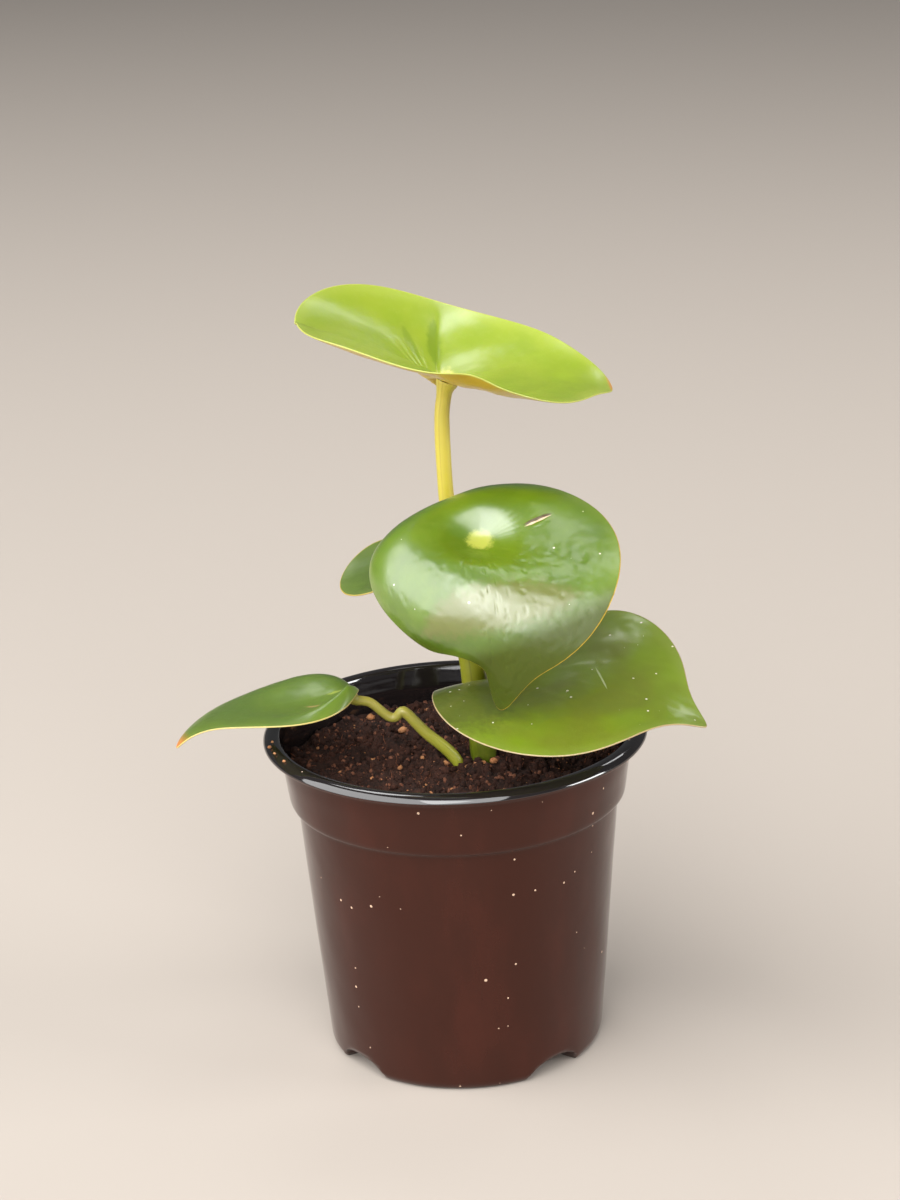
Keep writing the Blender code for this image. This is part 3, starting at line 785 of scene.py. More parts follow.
def flesh(name, foot, neck, line_colour):
    """The skin of a stalk: two colours along it, and fine lines that follow it."""
    made, tree, shader = new_finish(name)
    along, around = attribute(tree, "along"), attribute(tree, "around")
    place = object_place(tree)
    body = blend_colour(tree, stretch(tree, along, 0.05, 0.7), foot, neck)
    across_lines = arithmetic(tree, "MULTIPLY", around, LINES_AROUND)
    lines_at = add(tree, "ShaderNodeCombineXYZ", {0: across_lines, 1: along}).outputs[0]
    lines = add(tree, "ShaderNodeTexNoise", {"Vector": lines_at, "Scale": 1.0, "Detail": 3.0}).outputs[0]
    body = blend_colour(tree, stretch(tree, lines, 0.5, 0.72, 0.0, 0.55), body, line_colour)
    mottle = cloudy(tree, place, 2.4, 4.0)
    body = blend_colour(tree, stretch(tree, mottle, 0.45, 0.8, 0.0, 0.35), body, neck)
    plug(tree, shader.inputs["Base Color"], body)
    plug(tree, shader.inputs["Roughness"], stretch(tree, mottle, 0.3, 0.8, 0.3, 0.5))
    let_light_in(shader, 0.25, (0.6, 1.0, 0.25), 1.2)
    grooves = relief(tree, shader, lines, 0.12)
    relief(tree, shader, cloudy(tree, place, 0.45, 2.0), 0.02, grooves)
    return made


def grown(name, line, lump_depth, finish):
    """One stalk or stem, built by the stalk tree along a route."""
    mesh = bpy.data.meshes.new(name)
    mesh.from_pydata((line[:, :3] * MM).tolist(), [(i, i + 1) for i in range(len(line) - 1)], [])
    keep_values(mesh, "radius", line[:, 3] * MM)
    return built_by(STALK_TREE, name, mesh, {
        "Sides": STALK_SIDES, "Lumps per metre": LUMPS_PER_METRE, "Lump depth": lump_depth * MM,
        "Finish": finish,
    })


STALK_SKINS = {  # at the foot, at the neck, and in the lines
    "top": (seen(158, 148, 30), seen(176, 162, 58), seen(136, 112, 28)),
    "front": (seen(118, 126, 40), seen(152, 154, 66), seen(94, 100, 30)),
    "right": (seen(100, 114, 34), seen(130, 138, 54), seen(80, 92, 26)),
    "back": (seen(140, 142, 60), seen(166, 166, 98), seen(112, 116, 48)),
    "left": (seen(150, 154, 38), seen(142, 134, 56), seen(112, 116, 32)),
}
stem_line = flared(smooth_line(STEM, STALK_STEP), STEM_FLARE, 0.0, STEM_FLARE_RUN)
stem_skin = flesh("stem skin", seen(70, 86, 12), seen(118, 118, 20), seen(70, 72, 14))
grown_pieces = {"main_stem": grown("grown_stem", stem_line, STEM_LUMPS, stem_skin)}
for name, colours in STALK_SKINS.items():
    meets_stem = 0.0 if name in ("back", "left") else STALK_FLARE
    line = flared(smooth_line(stalk_line(name), STALK_STEP), meets_stem, END_FLARE - 1, STALK_FLARE_RUN)
    skin = flesh("stalk " + name, *colours)
    grown_pieces["petiole_" + name] = grown("grown_stalk_" + name, line, STALK_LUMPS, skin)

# %% [markdown]
# ## The blades' fine form
#
# The fine blade is the same set of spokes as the frame's, with many more of them. To each point of the
# middle sheet it adds three things: the thickness, which is even and closes in a round margin; the veins,
# which spread from the stalk, curve towards the tip, and are sunk above and raised below; and the small
# unevenness of a living surface. How near a point is to a vein, and how far from the margin, is kept on the
# mesh for the finish.

# %% Work out a blade's sheet
EDGE_TAPER = 0.12  # how much narrower the tip's half is
DISH_START = 3.0
HOOK_SPREAD, HOOK_POWER = 0.35, 5  # a hook bends only the tip, late along the spoke
LIFT_SPREAD, LIFT_POWER = 0.45, 4  # a lift bends one stretch of the edge
SPOKE_STEPS = 120


def drop_outline(leaf, around):
    """Points on the flat blade's edge, measured from the stalk, in millimetres. The tip is at zero."""
    half = (leaf["length"] - leaf["tip"]) / 2
    drawn_out = leaf["tip"] * np.exp(-((around / math.radians(leaf["tip_spread"])) ** 2))
    along = half - leaf["base"] + half * np.cos(around) + drawn_out
    pinch, pinch_at, pinch_spread = leaf["pinch"]
    drawn_in = 1 - pinch * hill(around, math.radians(pinch_at), math.radians(pinch_spread))
    across = leaf["width"] / 2 * np.sin(around) * (1 - EDGE_TAPER * np.cos(around)) * drawn_in
    return along, across


def waves(mean, shares, direction):
    """A mean and its lobes round the stalk, in radians."""
    total = np.full_like(direction, float(mean))
    for lobes, (cosine, sine) in enumerate(shares, start=1):
        total += cosine * np.cos(lobes * direction) + sine * np.sin(lobes * direction)
    return np.radians(total)


def round_reach(leaf, direction):
    """How far the blade reaches from the stalk, read as an oval with no drawn out tip."""
    half_long, half_wide = (leaf["length"] - leaf["tip"]) / 2, leaf["width"] / 2
    middle = half_long - leaf["base"]
    square = (np.cos(direction) / half_long) ** 2 + (np.sin(direction) / half_wide) ** 2
    linear = -2 * middle * np.cos(direction) / half_long**2
    constant = (middle / half_long) ** 2 - 1
    return (np.sqrt(linear**2 - 4 * square * constant) - linear) / (2 * square)


def spokes(leaf, direction, length):
    """Points (out, up) along each spoke, stalk to edge, in millimetres."""
    bend = waves(leaf["bend"], leaf["bend_waves"], direction)
    dish = waves(leaf["dish"], leaf["dish_waves"], direction)
    hook = math.radians(leaf["hook"]) * hill(direction, 0, HOOK_SPREAD)
    lift = math.radians(leaf["lift"]) * hill(direction, math.radians(leaf["lift_at"]), LIFT_SPREAD)
    reach = (np.arange(SPOKE_STEPS)[:, None] + 0.5) / SPOKE_STEPS * length
    share = reach / round_reach(leaf, direction)
    slope = dish * (1 - np.exp(-((reach / DISH_START) ** 2))) * np.exp(-((reach / leaf["dish_reach"]) ** 2))
    slope += lift * share**LIFT_POWER - hook * share**HOOK_POWER - bend * share ** leaf["bend_power"]
    still = np.zeros((1, len(direction)))
    out = np.vstack([still, np.cumsum(np.cos(slope), axis=0) * length / SPOKE_STEPS])
    up = np.vstack([still, np.cumsum(np.sin(slope), axis=0) * length / SPOKE_STEPS])
    return out, up


print("spoke steps:", SPOKE_STEPS)

# %% Build a blade from its sheet
BLADE_SPOKES = 216
BLADE_RINGS = 66
RING_CROWDING = 0.9  # under 1, the rings lie closer near the edge
TIP_CROWDING = 0.35  # the spokes lie closer at the tip
CALM_RUN = 3.0  # the relief dies away this near the edge
BLADE_THICKNESS = 1.0
MARGIN_STEPS = (0.55, 0.36, 0.22, 0.11, 0.04, 0.0)  # how far each of the last rings is from the edge
MARGIN_ROUND = 0.4
MARGIN_THINNING, MARGIN_RUN = 0.5, 7.0
VEINS = np.radians([0, 27, -27, 56, -56, 92, -92, 135, -135, 176])
VEIN_CURVE = 0.24


def smooth_noise(flat, size, seed):
    """Soft noise from about -0.5 to 0.5 at points of the flat leaf."""
    heights = [noise.noise(Vector((x / size, y / size, seed))) for x, y in flat.reshape(-1, 2)]
    return np.array(heights).reshape(flat.shape[:-1])


def vein_nearness(reach, share, direction):
    """1 on a vein and 0 away from it. Veins curve towards the tip and thin out on the way."""
    near = np.zeros_like(reach)
    for start in VEINS:
        way = start * (1 - VEIN_CURVE * share)
        apart = np.abs(np.angle(np.exp(1j * (direction - way)))) * reach
        width = 1.1 - 0.6 * share
        near = np.maximum(near, np.exp(-((apart / width) ** 2)) * (1 - 0.7 * share))
    return near * np.clip(reach / 4, 0, 1)


def blade_rings(leaf, details):
    """Upper points, lower points and the values that go with them, ring by ring from the stalk."""
    around = np.arange(BLADE_SPOKES) * math.tau / BLADE_SPOKES - math.pi
    along, across = drop_outline(leaf, around - TIP_CROWDING * np.sin(around))
    length, direction = np.hypot(along, across), np.arctan2(across, along)
    out, up = spokes(leaf, direction, length)
    last = 1 - MARGIN_STEPS[0] / length
    share = np.linspace(0, 1, BLADE_RINGS)[:, None] ** RING_CROWDING * last
    share = np.vstack([share, 1 - np.array(MARGIN_STEPS[1:])[:, None] / length])
    at = np.clip(share * SPOKE_STEPS, 0, SPOKE_STEPS - 1e-6)
    low = at.astype(int)
    between = at - low
    out = np.take_along_axis(out, low, 0) * (1 - between) + np.take_along_axis(out, low + 1, 0) * between
    up = np.take_along_axis(up, low, 0) * (1 - between) + np.take_along_axis(up, low + 1, 0) * between
    sheet = np.stack([out * np.cos(direction), out * np.sin(direction), up], -1)
    reach = share * length
    flat = np.stack([reach * np.cos(direction), reach * np.sin(direction)], -1)
    outward = np.gradient(sheet, axis=0)
    sideways = np.roll(sheet, -1, 1) - np.roll(sheet, 1, 1)
    normal = np.cross(outward, sideways)
    normal[0] = normal[1].mean(0)
    normal /= np.linalg.norm(normal, axis=-1, keepdims=True)
    from_edge = np.clip((length - reach) / MARGIN_ROUND, 0, 1)
    thinned = 1 - MARGIN_THINNING * np.exp(-(length - reach) / MARGIN_RUN)
    half = BLADE_THICKNESS / 2 * np.sqrt(1 - (1 - from_edge) ** 2) * thinned
    vein = vein_nearness(reach, share, direction)
    above, below, shift = details(flat, reach, share, direction, vein)
    calm = past(length - reach, 0, CALM_RUN)
    upper = sheet + normal * (shift + half + above * calm)[..., None]
    lower = sheet + normal * (shift - half - below * calm)[..., None]
    spin, attach = blade_turn(leaf), np.array(leaf["attach"], float)
    return upper @ spin.T + attach, lower @ spin.T + attach, flat, vein


print("blade points:", 2 * BLADE_SPOKES * (BLADE_RINGS + len(MARGIN_STEPS)))

# %% [markdown]
# ## What each blade shows
#
# The blades are alike in build but each has its own history. The top one has a deep crease behind its
# stalk, with small folds running into it. The front one is the oldest: it is pitted, and something has
# scratched it beside the stalk. The relief of each is a short function of the place on the flat leaf.

# %% Write the relief helpers


def along_line(flat, start, end):
    """Distance from a straight line on the flat leaf, and how far along it, from 0 to 1."""
    start, end = np.array(start, float), np.array(end, float)
    run = end - start
    at = np.clip(((flat - start) @ run) / (run @ run), 0, 1)
    return np.linalg.norm(flat - start - at[..., None] * run, axis=-1), at


def near_way(direction, degrees, spread):
    """1 in one direction from the stalk, falling off to both sides, in degrees."""
    return hill(np.angle(np.exp(1j * (direction - math.radians(degrees)))), 0, math.radians(spread))


def living_skin(flat, vein, unevenness):
    """What every blade has: soft unevenness, and veins that are faint above and raised below."""
    waviness = unevenness * smooth_noise(flat, 9.0, 1.0) + 0.3 * unevenness * smooth_noise(flat, 3.2, 4.0)
    return waviness - 0.02 * vein, -waviness + 0.22 * vein


away, _ = along_line(np.array([[3.0, 4.0]]), (0, 0), (10, 0))
print("the point 3, 4 is", float(away[0]), "mm from a line along x")

# %% Give each blade its relief
TOP_CREASE = ((0, 0), (1.5, 36))  # from, to, on the flat leaf
TOP_FOLD = ((0, -38), (34, -2))
FRONT_SCAR = ((-1.4, 14.2), (-4.7, 22.8))
LEFT_TROUGH = ((0, 0), (16, 0))
CREASE_DEPTH, CREASE_SPREAD = 5.4, 8.0
DISH_DEPTH, DISH_SPREAD = 1.5, 10.0
LIFTED_EDGE = 4.4


def top_relief(flat, reach, share, direction, vein):
    """A sharp crease behind the stalk with small folds beside it, and one lobe with a soft fold."""
    above, below = living_skin(flat, vein, 0.16)
    crease, _ = along_line(flat, *TOP_CREASE)
    inside = (1 - share**4) * past(flat[..., 1], 0, 8) * past(reach, 2.5, 5)
    shift = -CREASE_DEPTH * np.exp(-(np.hypot(crease, 0.7) - 0.7) / CREASE_SPREAD) * inside
    folds = 0.16 * np.sin(direction * 40) * near_way(direction, 116, 18) * hill(reach, 14, 8)
    lobe = 1.2 * hill(flat[..., 0], 28, 13) * hill(flat[..., 1], -15, 11) * (1 - share**2)
    fold, _ = along_line(flat, *TOP_FOLD)
    shift += lobe - 0.55 * hill(fold, 0, 3.5) * (1 - share**6)
    shift += near_way(direction, -97, 12) * (2.0 * past(share, 0.7, 0.3) ** 2 - 0.9 * hill(share, 0.66, 0.2))
    return above + folds, below - folds, shift


def front_relief(flat, reach, share, direction, vein):
    """A dish round the stalk, dents and pits towards the tip, and a scar: a crack between two low banks."""
    above, below = living_skin(flat, vein, 0.13)
    tip_half = past(flat[..., 0], -2, 12)
    dents = 0.10 * smooth_noise(flat, 2.4, 12.0) * tip_half
    pits = np.clip(smooth_noise(flat, 1.4, 7.0) - 0.30, 0, None) * 0.45 * tip_half
    ripples = 0.02 * np.sin(direction * 46 + 3 * smooth_noise(flat, 8.0, 2.0)) * near_way(direction, 125, 45)
    shift = -DISH_DEPTH * hill(reach, 0, DISH_SPREAD) + 0.25 * hill(reach, 12, 3.5)
    shift += LIFTED_EDGE * past(share, 0.45, 0.55) ** 1.3 * near_way(direction, -42, 26)
    scar, at = along_line(flat, *FRONT_SCAR)
    crack = (0.30 * hill(scar, 0.9, 0.5) - 0.45 * hill(scar, 0, 0.35)) * hill(at, 0.5, 0.35)
    return above + dents - pits + ripples * past(reach, 0, 12) + crack, below, shift


def left_relief(flat, reach, share, direction, vein):
    """One side rolled up and over, and a shallow trough from the stalk."""
    above, below = living_skin(flat, vein, 0.16)
    rolled = near_way(direction, 82, 44) * past(reach / np.maximum(share, 0.05), 0, 14) ** 2
    shift = rolled * (2.6 * hill(share, 0.66, 0.2) - 1.6 * past(share, 0.75, 0.25) ** 1.5)
    trough, at = along_line(flat, *LEFT_TROUGH)
    return above, below, shift - 0.6 * hill(trough, 0, 2.0) * (1 - at)


def plain_relief(unevenness):
    """The relief of a blade with no marks of its own."""
    def relief_here(flat, reach, share, direction, vein):
        above, below = living_skin(flat, vein, unevenness)
        return above, below, np.zeros_like(reach)
    return relief_here


RELIEFS = {
    "top": top_relief, "front": front_relief, "right": plain_relief(0.2), "left": left_relief,
    "back": plain_relief(0.25),
}
print("blades with a relief:", ", ".join(RELIEFS))

# %% [markdown]
# ## The skin of the blades
#
# A blade is waxy: a green body that light enters a little way, under a thin clear skin that gives the
# shine. The body's green changes over the leaf, pales along the veins and round the stalk, and turns to a
# thin cream line at the margin. The underside is duller and yellower. Dust lies on it as fine specks.

# %% Mix the skin of a blade
FLAT_SCALE = 100.0  # a UV of 1 is this many millimetres on the flat leaf
LEAF_DUST = seen(190, 186, 168)
UNDERSIDE_DULLER = 0.2
TIP_SHINE = 0.12  # the share of the coat that the coloured tip keeps


def streak(tree, flat, start, end, width, rough):
    """A mask along a short line on the flat leaf, with ragged sides."""
    run = (end[0] - start[0], end[1] - start[1])
    inputs = {
        "Vector": flat, "Location": (*start, 0.0), "Rotation": (0.0, 0.0, math.atan2(run[1], run[0])),
        "Scale": (math.hypot(*run), width, 1.0),
    }
    laid = add(tree, "ShaderNodeMapping", inputs, vector_type="TEXTURE").outputs[0]
    along, across = add(tree, "ShaderNodeSeparateXYZ", {0: laid}).outputs[:2]
    from_middle = arithmetic(tree, "ABSOLUTE", arithmetic(tree, "SUBTRACT", along, 0.5))
    ends = arithmetic(tree, "MULTIPLY", arithmetic(tree, "POWER", from_middle, 3.0), 8.0)
    sides = arithmetic(tree, "ADD", arithmetic(tree, "ABSOLUTE", across), ends)
    return stretch(tree, arithmetic(tree, "ADD", sides, rough), 1.7, 1.0)


def from_heart(tree, flat, heart_at):
    """Distance from the pale patch over the stalk, which is 1 on its edge."""
    x, y, half_long, half_wide = heart_at
    inputs = {"Vector": flat, "Location": (x, y, 0.0), "Scale": (half_long, half_wide, 1.0)}
    laid = add(tree, "ShaderNodeMapping", inputs, vector_type="TEXTURE").outputs[0]
    return add(tree, "ShaderNodeVectorMath", {0: laid}, operation="LENGTH").outputs["Value"]


def leaf_skin(name, look):
    """The skin of one blade, from its own colours and marks."""
    made, tree, shader = new_finish(name)
    flat = add(tree, "ShaderNodeUVMap", uv_map="flat leaf").outputs[0]
    flat = add(tree, "ShaderNodeMapping", {"Vector": flat, "Scale": (FLAT_SCALE, FLAT_SCALE, 1.0)}).outputs[0]
    vein, upper, edge = [attribute(tree, label) for label in ("vein", "upper", "edge")]
    patches = cloudy(tree, flat, 24.0, 2.0)
    mottle = cloudy(tree, flat, 2.2, 5.0, 0.65)
    # the green of the upper side, from its large patches to its small marks
    body = blend_colour(tree, stretch(tree, patches, 0.35, 0.65), look["body"], look["deep"])
    body = blend_colour(tree, stretch(tree, mottle, 0.45, 0.8, 0.0, 0.14), body, look["pale"])
    body = blend_colour(tree, stretch(tree, vein, 0.1, 1.0, 0.0, look["veins"]), body, look["pale"])
    body = blend_colour(tree, stretch(tree, edge, 5.0, 0.3, 0.0, 0.35), body, look["pale"])
    ragged = arithmetic(tree, "MULTIPLY", mottle, 1.6)
    ragged = arithmetic(tree, "ADD", from_heart(tree, flat, look["heart_at"]), ragged)
    body = blend_colour(tree, stretch(tree, ragged, 2.15, 1.45), body, look["heart"])
    for start, end, width, colour in look["marks"]:
        body = blend_colour(tree, streak(tree, flat, start, end, width, mottle), body, colour)
    # towards the tip: the blade's own colour on the top and left blades, painted shade on the front one, a
    # painted highlight on the right one
    tip_colour, tip_start, tip_end, tip_skew = look["tip"]
    skewed = {0: flat, 1: (1.0, tip_skew, 0.0)}
    lengthways = add(tree, "ShaderNodeVectorMath", skewed, operation="DOT_PRODUCT").outputs["Value"]
    body = blend_colour(tree, stretch(tree, lengthways, tip_start, tip_end), body, tip_colour)
    # the underside, the margin and the dust
    under = blend_colour(tree, stretch(tree, vein, 0.2, 1.0), look["under"], look["under_vein"])
    both = blend_colour(tree, stretch(tree, upper, 0.4, 0.6), under, body)
    ragged_edge = arithmetic(tree, "ADD", edge, arithmetic(tree, "MULTIPLY", mottle, 0.4))
    both = blend_colour(tree, stretch(tree, ragged_edge, 0.62, 0.3), both, look["margin"])
    specks = dust_specks(tree, flat, 2.6, 0.42, look["dust"])
    plug(tree, shader.inputs["Base Color"], blend_colour(tree, specks, both, LEAF_DUST))
    # the waxy shine, weaker below and on the tip
    waxed = stretch(tree, mottle, 0.3, 0.8, look["roughness"], look["roughness"] + 0.12)
    duller = stretch(tree, upper, 0.6, 0.4, 0.0, UNDERSIDE_DULLER)
    plug(tree, shader.inputs["Roughness"], arithmetic(tree, "ADD", waxed, duller))
    let_light_in(shader, 0.2, (0.5, 1.0, 0.15), 1.0)
    shader.inputs["Specular IOR Level"].default_value = 0.2
    coat, coat_roughness, coat_ior = look["coat"]
    coated = stretch(tree, lengthways, tip_start, tip_end, coat, TIP_SHINE * coat)
    plug(tree, shader.inputs["Coat Weight"], coated)
    shader.inputs["Coat Roughness"].default_value = coat_roughness
    shader.inputs["Coat IOR"].default_value = coat_ior
    pores = relief(tree, shader, cloudy(tree, flat, 0.5, 3.0, 0.6), 0.02)
    relief(tree, shader, cloudy(tree, flat, 1.6, 2.0), look["grain"], pores)
    return made


print("a UV of 1 is", FLAT_SCALE, "mm on the flat leaf")

# %% [markdown]
# Each leaf then needs only its own colours and marks. Body, deep and pale are its greens, and veins says
# how much the veins pale it. The heart is the patch over the stalk: its middle and its half sizes. The tip
# has a colour, where it starts and ends along the leaf, and how much that line is turned. Dust is how much
# of the leaf has specks. The coat is how strong, how rough and how dense the wax is. A mark is a streak: its
# start, end, width and colour. All lengths are millimetres on the flat leaf.

# %% Write down the leaves' looks
LOOKS = {
    "top": {
        "body": seen(126, 142, 33), "deep": seen(116, 135, 27), "pale": seen(148, 160, 68), "veins": 0.08,
        "heart": seen(190, 184, 84), "heart_at": (1.5, 8.0, 3.2, 7.0),
        "under": seen(176, 146, 36), "under_vein": seen(196, 174, 70), "margin": seen(160, 162, 76),
        "tip": (seen(170, 120, 60), 49.5, 51.5, 0.0),
        "dust": 0.0, "roughness": 0.34, "coat": (0.7, 0.27, 1.6), "grain": 0.03,
        "marks": (
            # darker streaks along the crease and beside it: painted shade in the valley
            ((-1.0, 34.0), (0.0, 18.0), 2.6, seen(104, 124, 24)),
            ((-12.0, 28.0), (-5.0, 15.0), 2.0, seen(110, 129, 26)),
        ),
    },
    "front": {
        "body": seen(80, 105, 6), "deep": seen(68, 93, 6), "pale": seen(104, 122, 36), "veins": 0.06,
        "heart": seen(144, 150, 60), "heart_at": (-0.6, 0.4, 3.2, 3.4),
        "under": seen(120, 132, 56), "under_vein": seen(144, 152, 84), "margin": seen(166, 134, 44),
        # the front tip's dark green is painted shade
        "tip": (seen(56, 66, 4), 32.0, 42.0, 0.3),
        "dust": 0.05, "roughness": 0.36, "coat": (1.0, 0.27, 1.75), "grain": 0.05,
        "marks": (  # painted sheen as a greyer band, then the scar: its dark bank and its dry crack
            ((26.0, -27.0), (26.0, 26.0), 8.0, seen(90, 96, 36)),
            ((-2.2, 13.6), (-5.2, 23.2), 0.62, seen(70, 56, 22)),
            ((-1.6, 13.8), (-4.6, 23.0), 0.32, seen(196, 168, 138)),
        ),
    },
    "right": {
        "body": seen(92, 111, 14), "deep": seen(88, 98, 20), "pale": seen(108, 122, 46), "veins": 0.05,
        "heart": seen(150, 156, 84), "heart_at": (0.0, 0.0, 3.0, 3.0),
        "under": seen(120, 130, 64), "under_vein": seen(144, 150, 92), "margin": seen(146, 126, 90),
        # the pale tip is a painted highlight
        "tip": (seen(130, 124, 84), 60.0, 80.0, 0.0),
        "dust": 0.40, "roughness": 0.40, "coat": (0.8, 0.2, 1.55), "grain": 0.04,
        "marks": (  # a darker half, and a scratch
            ((-26.0, -36.0), (8.0, -10.0), 20.0, seen(70, 80, 18)),
            ((24.0, 8.8), (32.1, -1.0), 0.32, seen(140, 150, 104)),
        ),
    },
    "left": {
        "body": seen(80, 101, 28), "deep": seen(72, 93, 30), "pale": seen(98, 116, 44), "veins": 0.1,
        "heart": seen(128, 142, 58), "heart_at": (3.0, 0.6, 4.4, 0.8),
        "under": seen(120, 130, 64), "under_vein": seen(144, 150, 92), "margin": seen(176, 158, 96),
        "tip": (seen(178, 106, 40), 52.0, 58.0, 0.0),
        "dust": 0.03, "roughness": 0.36, "coat": (0.5, 0.24, 1.6), "grain": 0.04,
        "marks": (((16.5, 4.6), (6.5, 11.2), 1.0, seen(146, 128, 76)),),
    },
    "back": {
        "body": seen(74, 94, 32), "deep": seen(66, 84, 32), "pale": seen(92, 108, 50), "veins": 0.08,
        "heart": seen(150, 156, 84), "heart_at": (0.0, 0.0, 3.0, 3.0),
        "under": seen(108, 120, 60), "under_vein": seen(140, 148, 90), "margin": seen(150, 130, 56),
        "tip": (seen(84, 104, 38), 90.0, 99.0, 0.0),
        "dust": 0.02, "roughness": 0.40, "coat": (0.3, 0.3, 1.5), "grain": 0.04,
        "marks": (),
    },
}
print("marks on each leaf:", {name: len(look["marks"]) for name, look in LOOKS.items()})

# %% Make the blades


def all_round(values):
    """Values on the upper side, over the edge and back along the underside, in the order of the points."""
    upper, under = values[1:-1].reshape(-1, *values.shape[2:]), values[-2:0:-1].reshape(-1, *values.shape[2:])
    return np.concatenate([values[0, :1], upper, values[-1], under, values[0, :1]])


def make_blade(name):
    """One blade as a closed mesh, with its vein, edge and side values and its flat shape as UVs."""
    upper, lower, flat, vein = blade_rings(LEAVES[name], RELIEFS[name])
    reach = np.linalg.norm(flat, axis=-1)
    order = [upper[0, :1], upper[1:-1].reshape(-1, 3), upper[-1], lower[-2:0:-1].reshape(-1, 3), lower[0, :1]]
    faces = ring_faces(2 * (len(upper) - 2) + 1, BLADE_SPOKES)
    piece = new_piece("leaf_" + name, np.vstack(order), faces, leaf_skin("leaf " + name, LOOKS[name]))
    keep_values(piece.data, "vein", all_round(vein))
    keep_values(piece.data, "edge", all_round(reach[-1] - reach))
    a_side = (len(upper) - 2) * BLADE_SPOKES
    sides = [np.ones(1 + a_side), np.full(BLADE_SPOKES, 0.5), np.zeros(a_side + 1)]
    keep_values(piece.data, "upper", np.concatenate(sides))
    corners = np.zeros(len(piece.data.loops), np.int32)
    piece.data.loops.foreach_get("vertex_index", corners)
    uvs = all_round(flat)[corners] / FLAT_SCALE
    piece.data.uv_layers.new(name="flat leaf").data.foreach_set("uv", uvs.ravel())
    return piece


blades = {name: make_blade(name) for name in LEAVES}

# %% [markdown]
# ## Loose crumbs and fibres
#
# Thousands of crumbs lie on the soil, no two alike. Geometry Nodes scatter them: points are dropped on the
# soil's top, a small lump is set on each with a turn and a size of its own, and once the lumps are real a
# noise bends every one of them differently. Fibres are made the same way from a short bent thread. A value
# on the soil says where crumbs may lie, so that none sits in a stem.

# %% Say where crumbs may lie
SOIL_STEMS = ((8.6, 1.0, 4.6), (12.2, 9.0, 2.2), (-0.3, -1.0, 3.0))


def open_ground(points):
    """1 on open soil, and 0 under the stems and on the side of the body."""
    free = (points[:, 2] > SOIL_LEVEL - 5) & (np.hypot(points[:, 0], points[:, 1]) < SOIL_EDGE - 0.3)
    for x, y, radius in SOIL_STEMS:
        free &= np.hypot(points[:, 0] - x, points[:, 1] - y) > radius
    return free.astype(float)


free = open_ground(soil_form)
keep_values(soil.data, "open ground", free)
print("share of the soil's points where crumbs may lie:", round(float(free.mean()), 2))

# %% Build the crumb tree
SIZE_SEED = 7
MOSTLY_SMALL = 2.6  # the higher, the rarer the large ones


def scattered(tree, given, ground, lump):
    """Points dropped on open ground, with a lump on each at its own turn and size."""
    density = arithmetic(tree, "MULTIPLY", named_value(tree, "open ground"), given["Per square metre"])
    inputs = {"Mesh": ground, "Density": density, "Seed": given["Seed"]}
    dropped = add(tree, "GeometryNodeDistributePointsOnFaces", inputs)
    inputs = {0: (0.0, 0.0, 0.0), 1: (math.tau, math.tau, math.tau), "Seed": given["Seed"]}
    any_way = add(tree, "FunctionNodeRandomValue", inputs, data_type="FLOAT_VECTOR").outputs[0]
    inputs = {2: 0.0, 3: 1.0, "Seed": SIZE_SEED}
    draw = add(tree, "FunctionNodeRandomValue", inputs, data_type="FLOAT").outputs[1]
    mostly_small = arithmetic(tree, "POWER", draw, MOSTLY_SMALL)
    inputs = {"Value": mostly_small, "To Min": given["Smallest"], "To Max": given["Largest"]}
    size = add(tree, "ShaderNodeMapRange", inputs).outputs[0]
    inputs = {"Points": dropped.outputs[0], "Instance": lump, "Rotation": any_way, "Scale": size}
    return add(tree, "GeometryNodeInstanceOnPoints", inputs).outputs[0]


def crumb_tree(name, lump_maker):
    """Scatters one kind of lump over a ground and bends every one of them differently."""
    inputs = (
        ("Per square metre", "Float"), ("Smallest", "Float"), ("Largest", "Float"), ("Seed", "Int"),
        ("Bends per metre", "Float"), ("Bend depth", "Float"), ("Finish", "Material"),
    )
    tree, given, out = new_tree(name, inputs)
    laid = scattered(tree, given, given["Geometry"], lump_maker(tree))
    real = add(tree, "GeometryNodeRealizeInstances", {0: laid}).outputs[0]
    wave = add(tree, "ShaderNodeTexNoise", {"Scale": given["Bends per metre"], "Detail": 1.0}).outputs[1]
    inputs = {0: wave, 1: (0.5, 0.5, 0.5)}
    centred = add(tree, "ShaderNodeVectorMath", inputs, operation="SUBTRACT").outputs[0]
    inputs = {0: centred, "Scale": given["Bend depth"]}
    offset = add(tree, "ShaderNodeVectorMath", inputs, operation="SCALE").outputs[0]
    bent = add(tree, "GeometryNodeSetPosition", {"Geometry": real, "Offset": offset}).outputs[0]
    end_tree(tree, bent, given["Finish"], out)
    return tree


def lump(tree):
    """A lump of unit size, a little flattened."""
    ball = add(tree, "GeometryNodeMeshIcoSphere", {"Radius": 0.5, "Subdivisions": 1}).outputs[0]
    return add(tree, "GeometryNodeTransform", {0: ball, "Scale": (1.0, 0.8, 0.62)}).outputs[0]


def thread(tree):
    """A thin bent thread of unit length."""
    inputs = {"Resolution": 5, "Start": (-0.5, 0.0, 0.0), "Middle": (0.0, 0.22, 0.12), "End": (0.5, 0.0, 0.0)}
    line = add(tree, "GeometryNodeCurveQuadraticBezier", inputs).outputs[0]
    ring = add(tree, "GeometryNodeCurvePrimitiveCircle", {"Resolution": 4, "Radius": 0.022}).outputs[0]
    sweep = {"Curve": line, "Profile Curve": ring, "Fill Caps": True}
    return add(tree, "GeometryNodeCurveToMesh", sweep).outputs[0]


CRUMB_TREE = crumb_tree("crumbs", lump)
FIBRE_TREE = crumb_tree("fibres", thread)
print("crumb tree has", len(CRUMB_TREE.nodes), "nodes")

# %% Scatter the crumbs and fibres
SQUARE_CENTIMETRES = 10000.0  # in a square metre


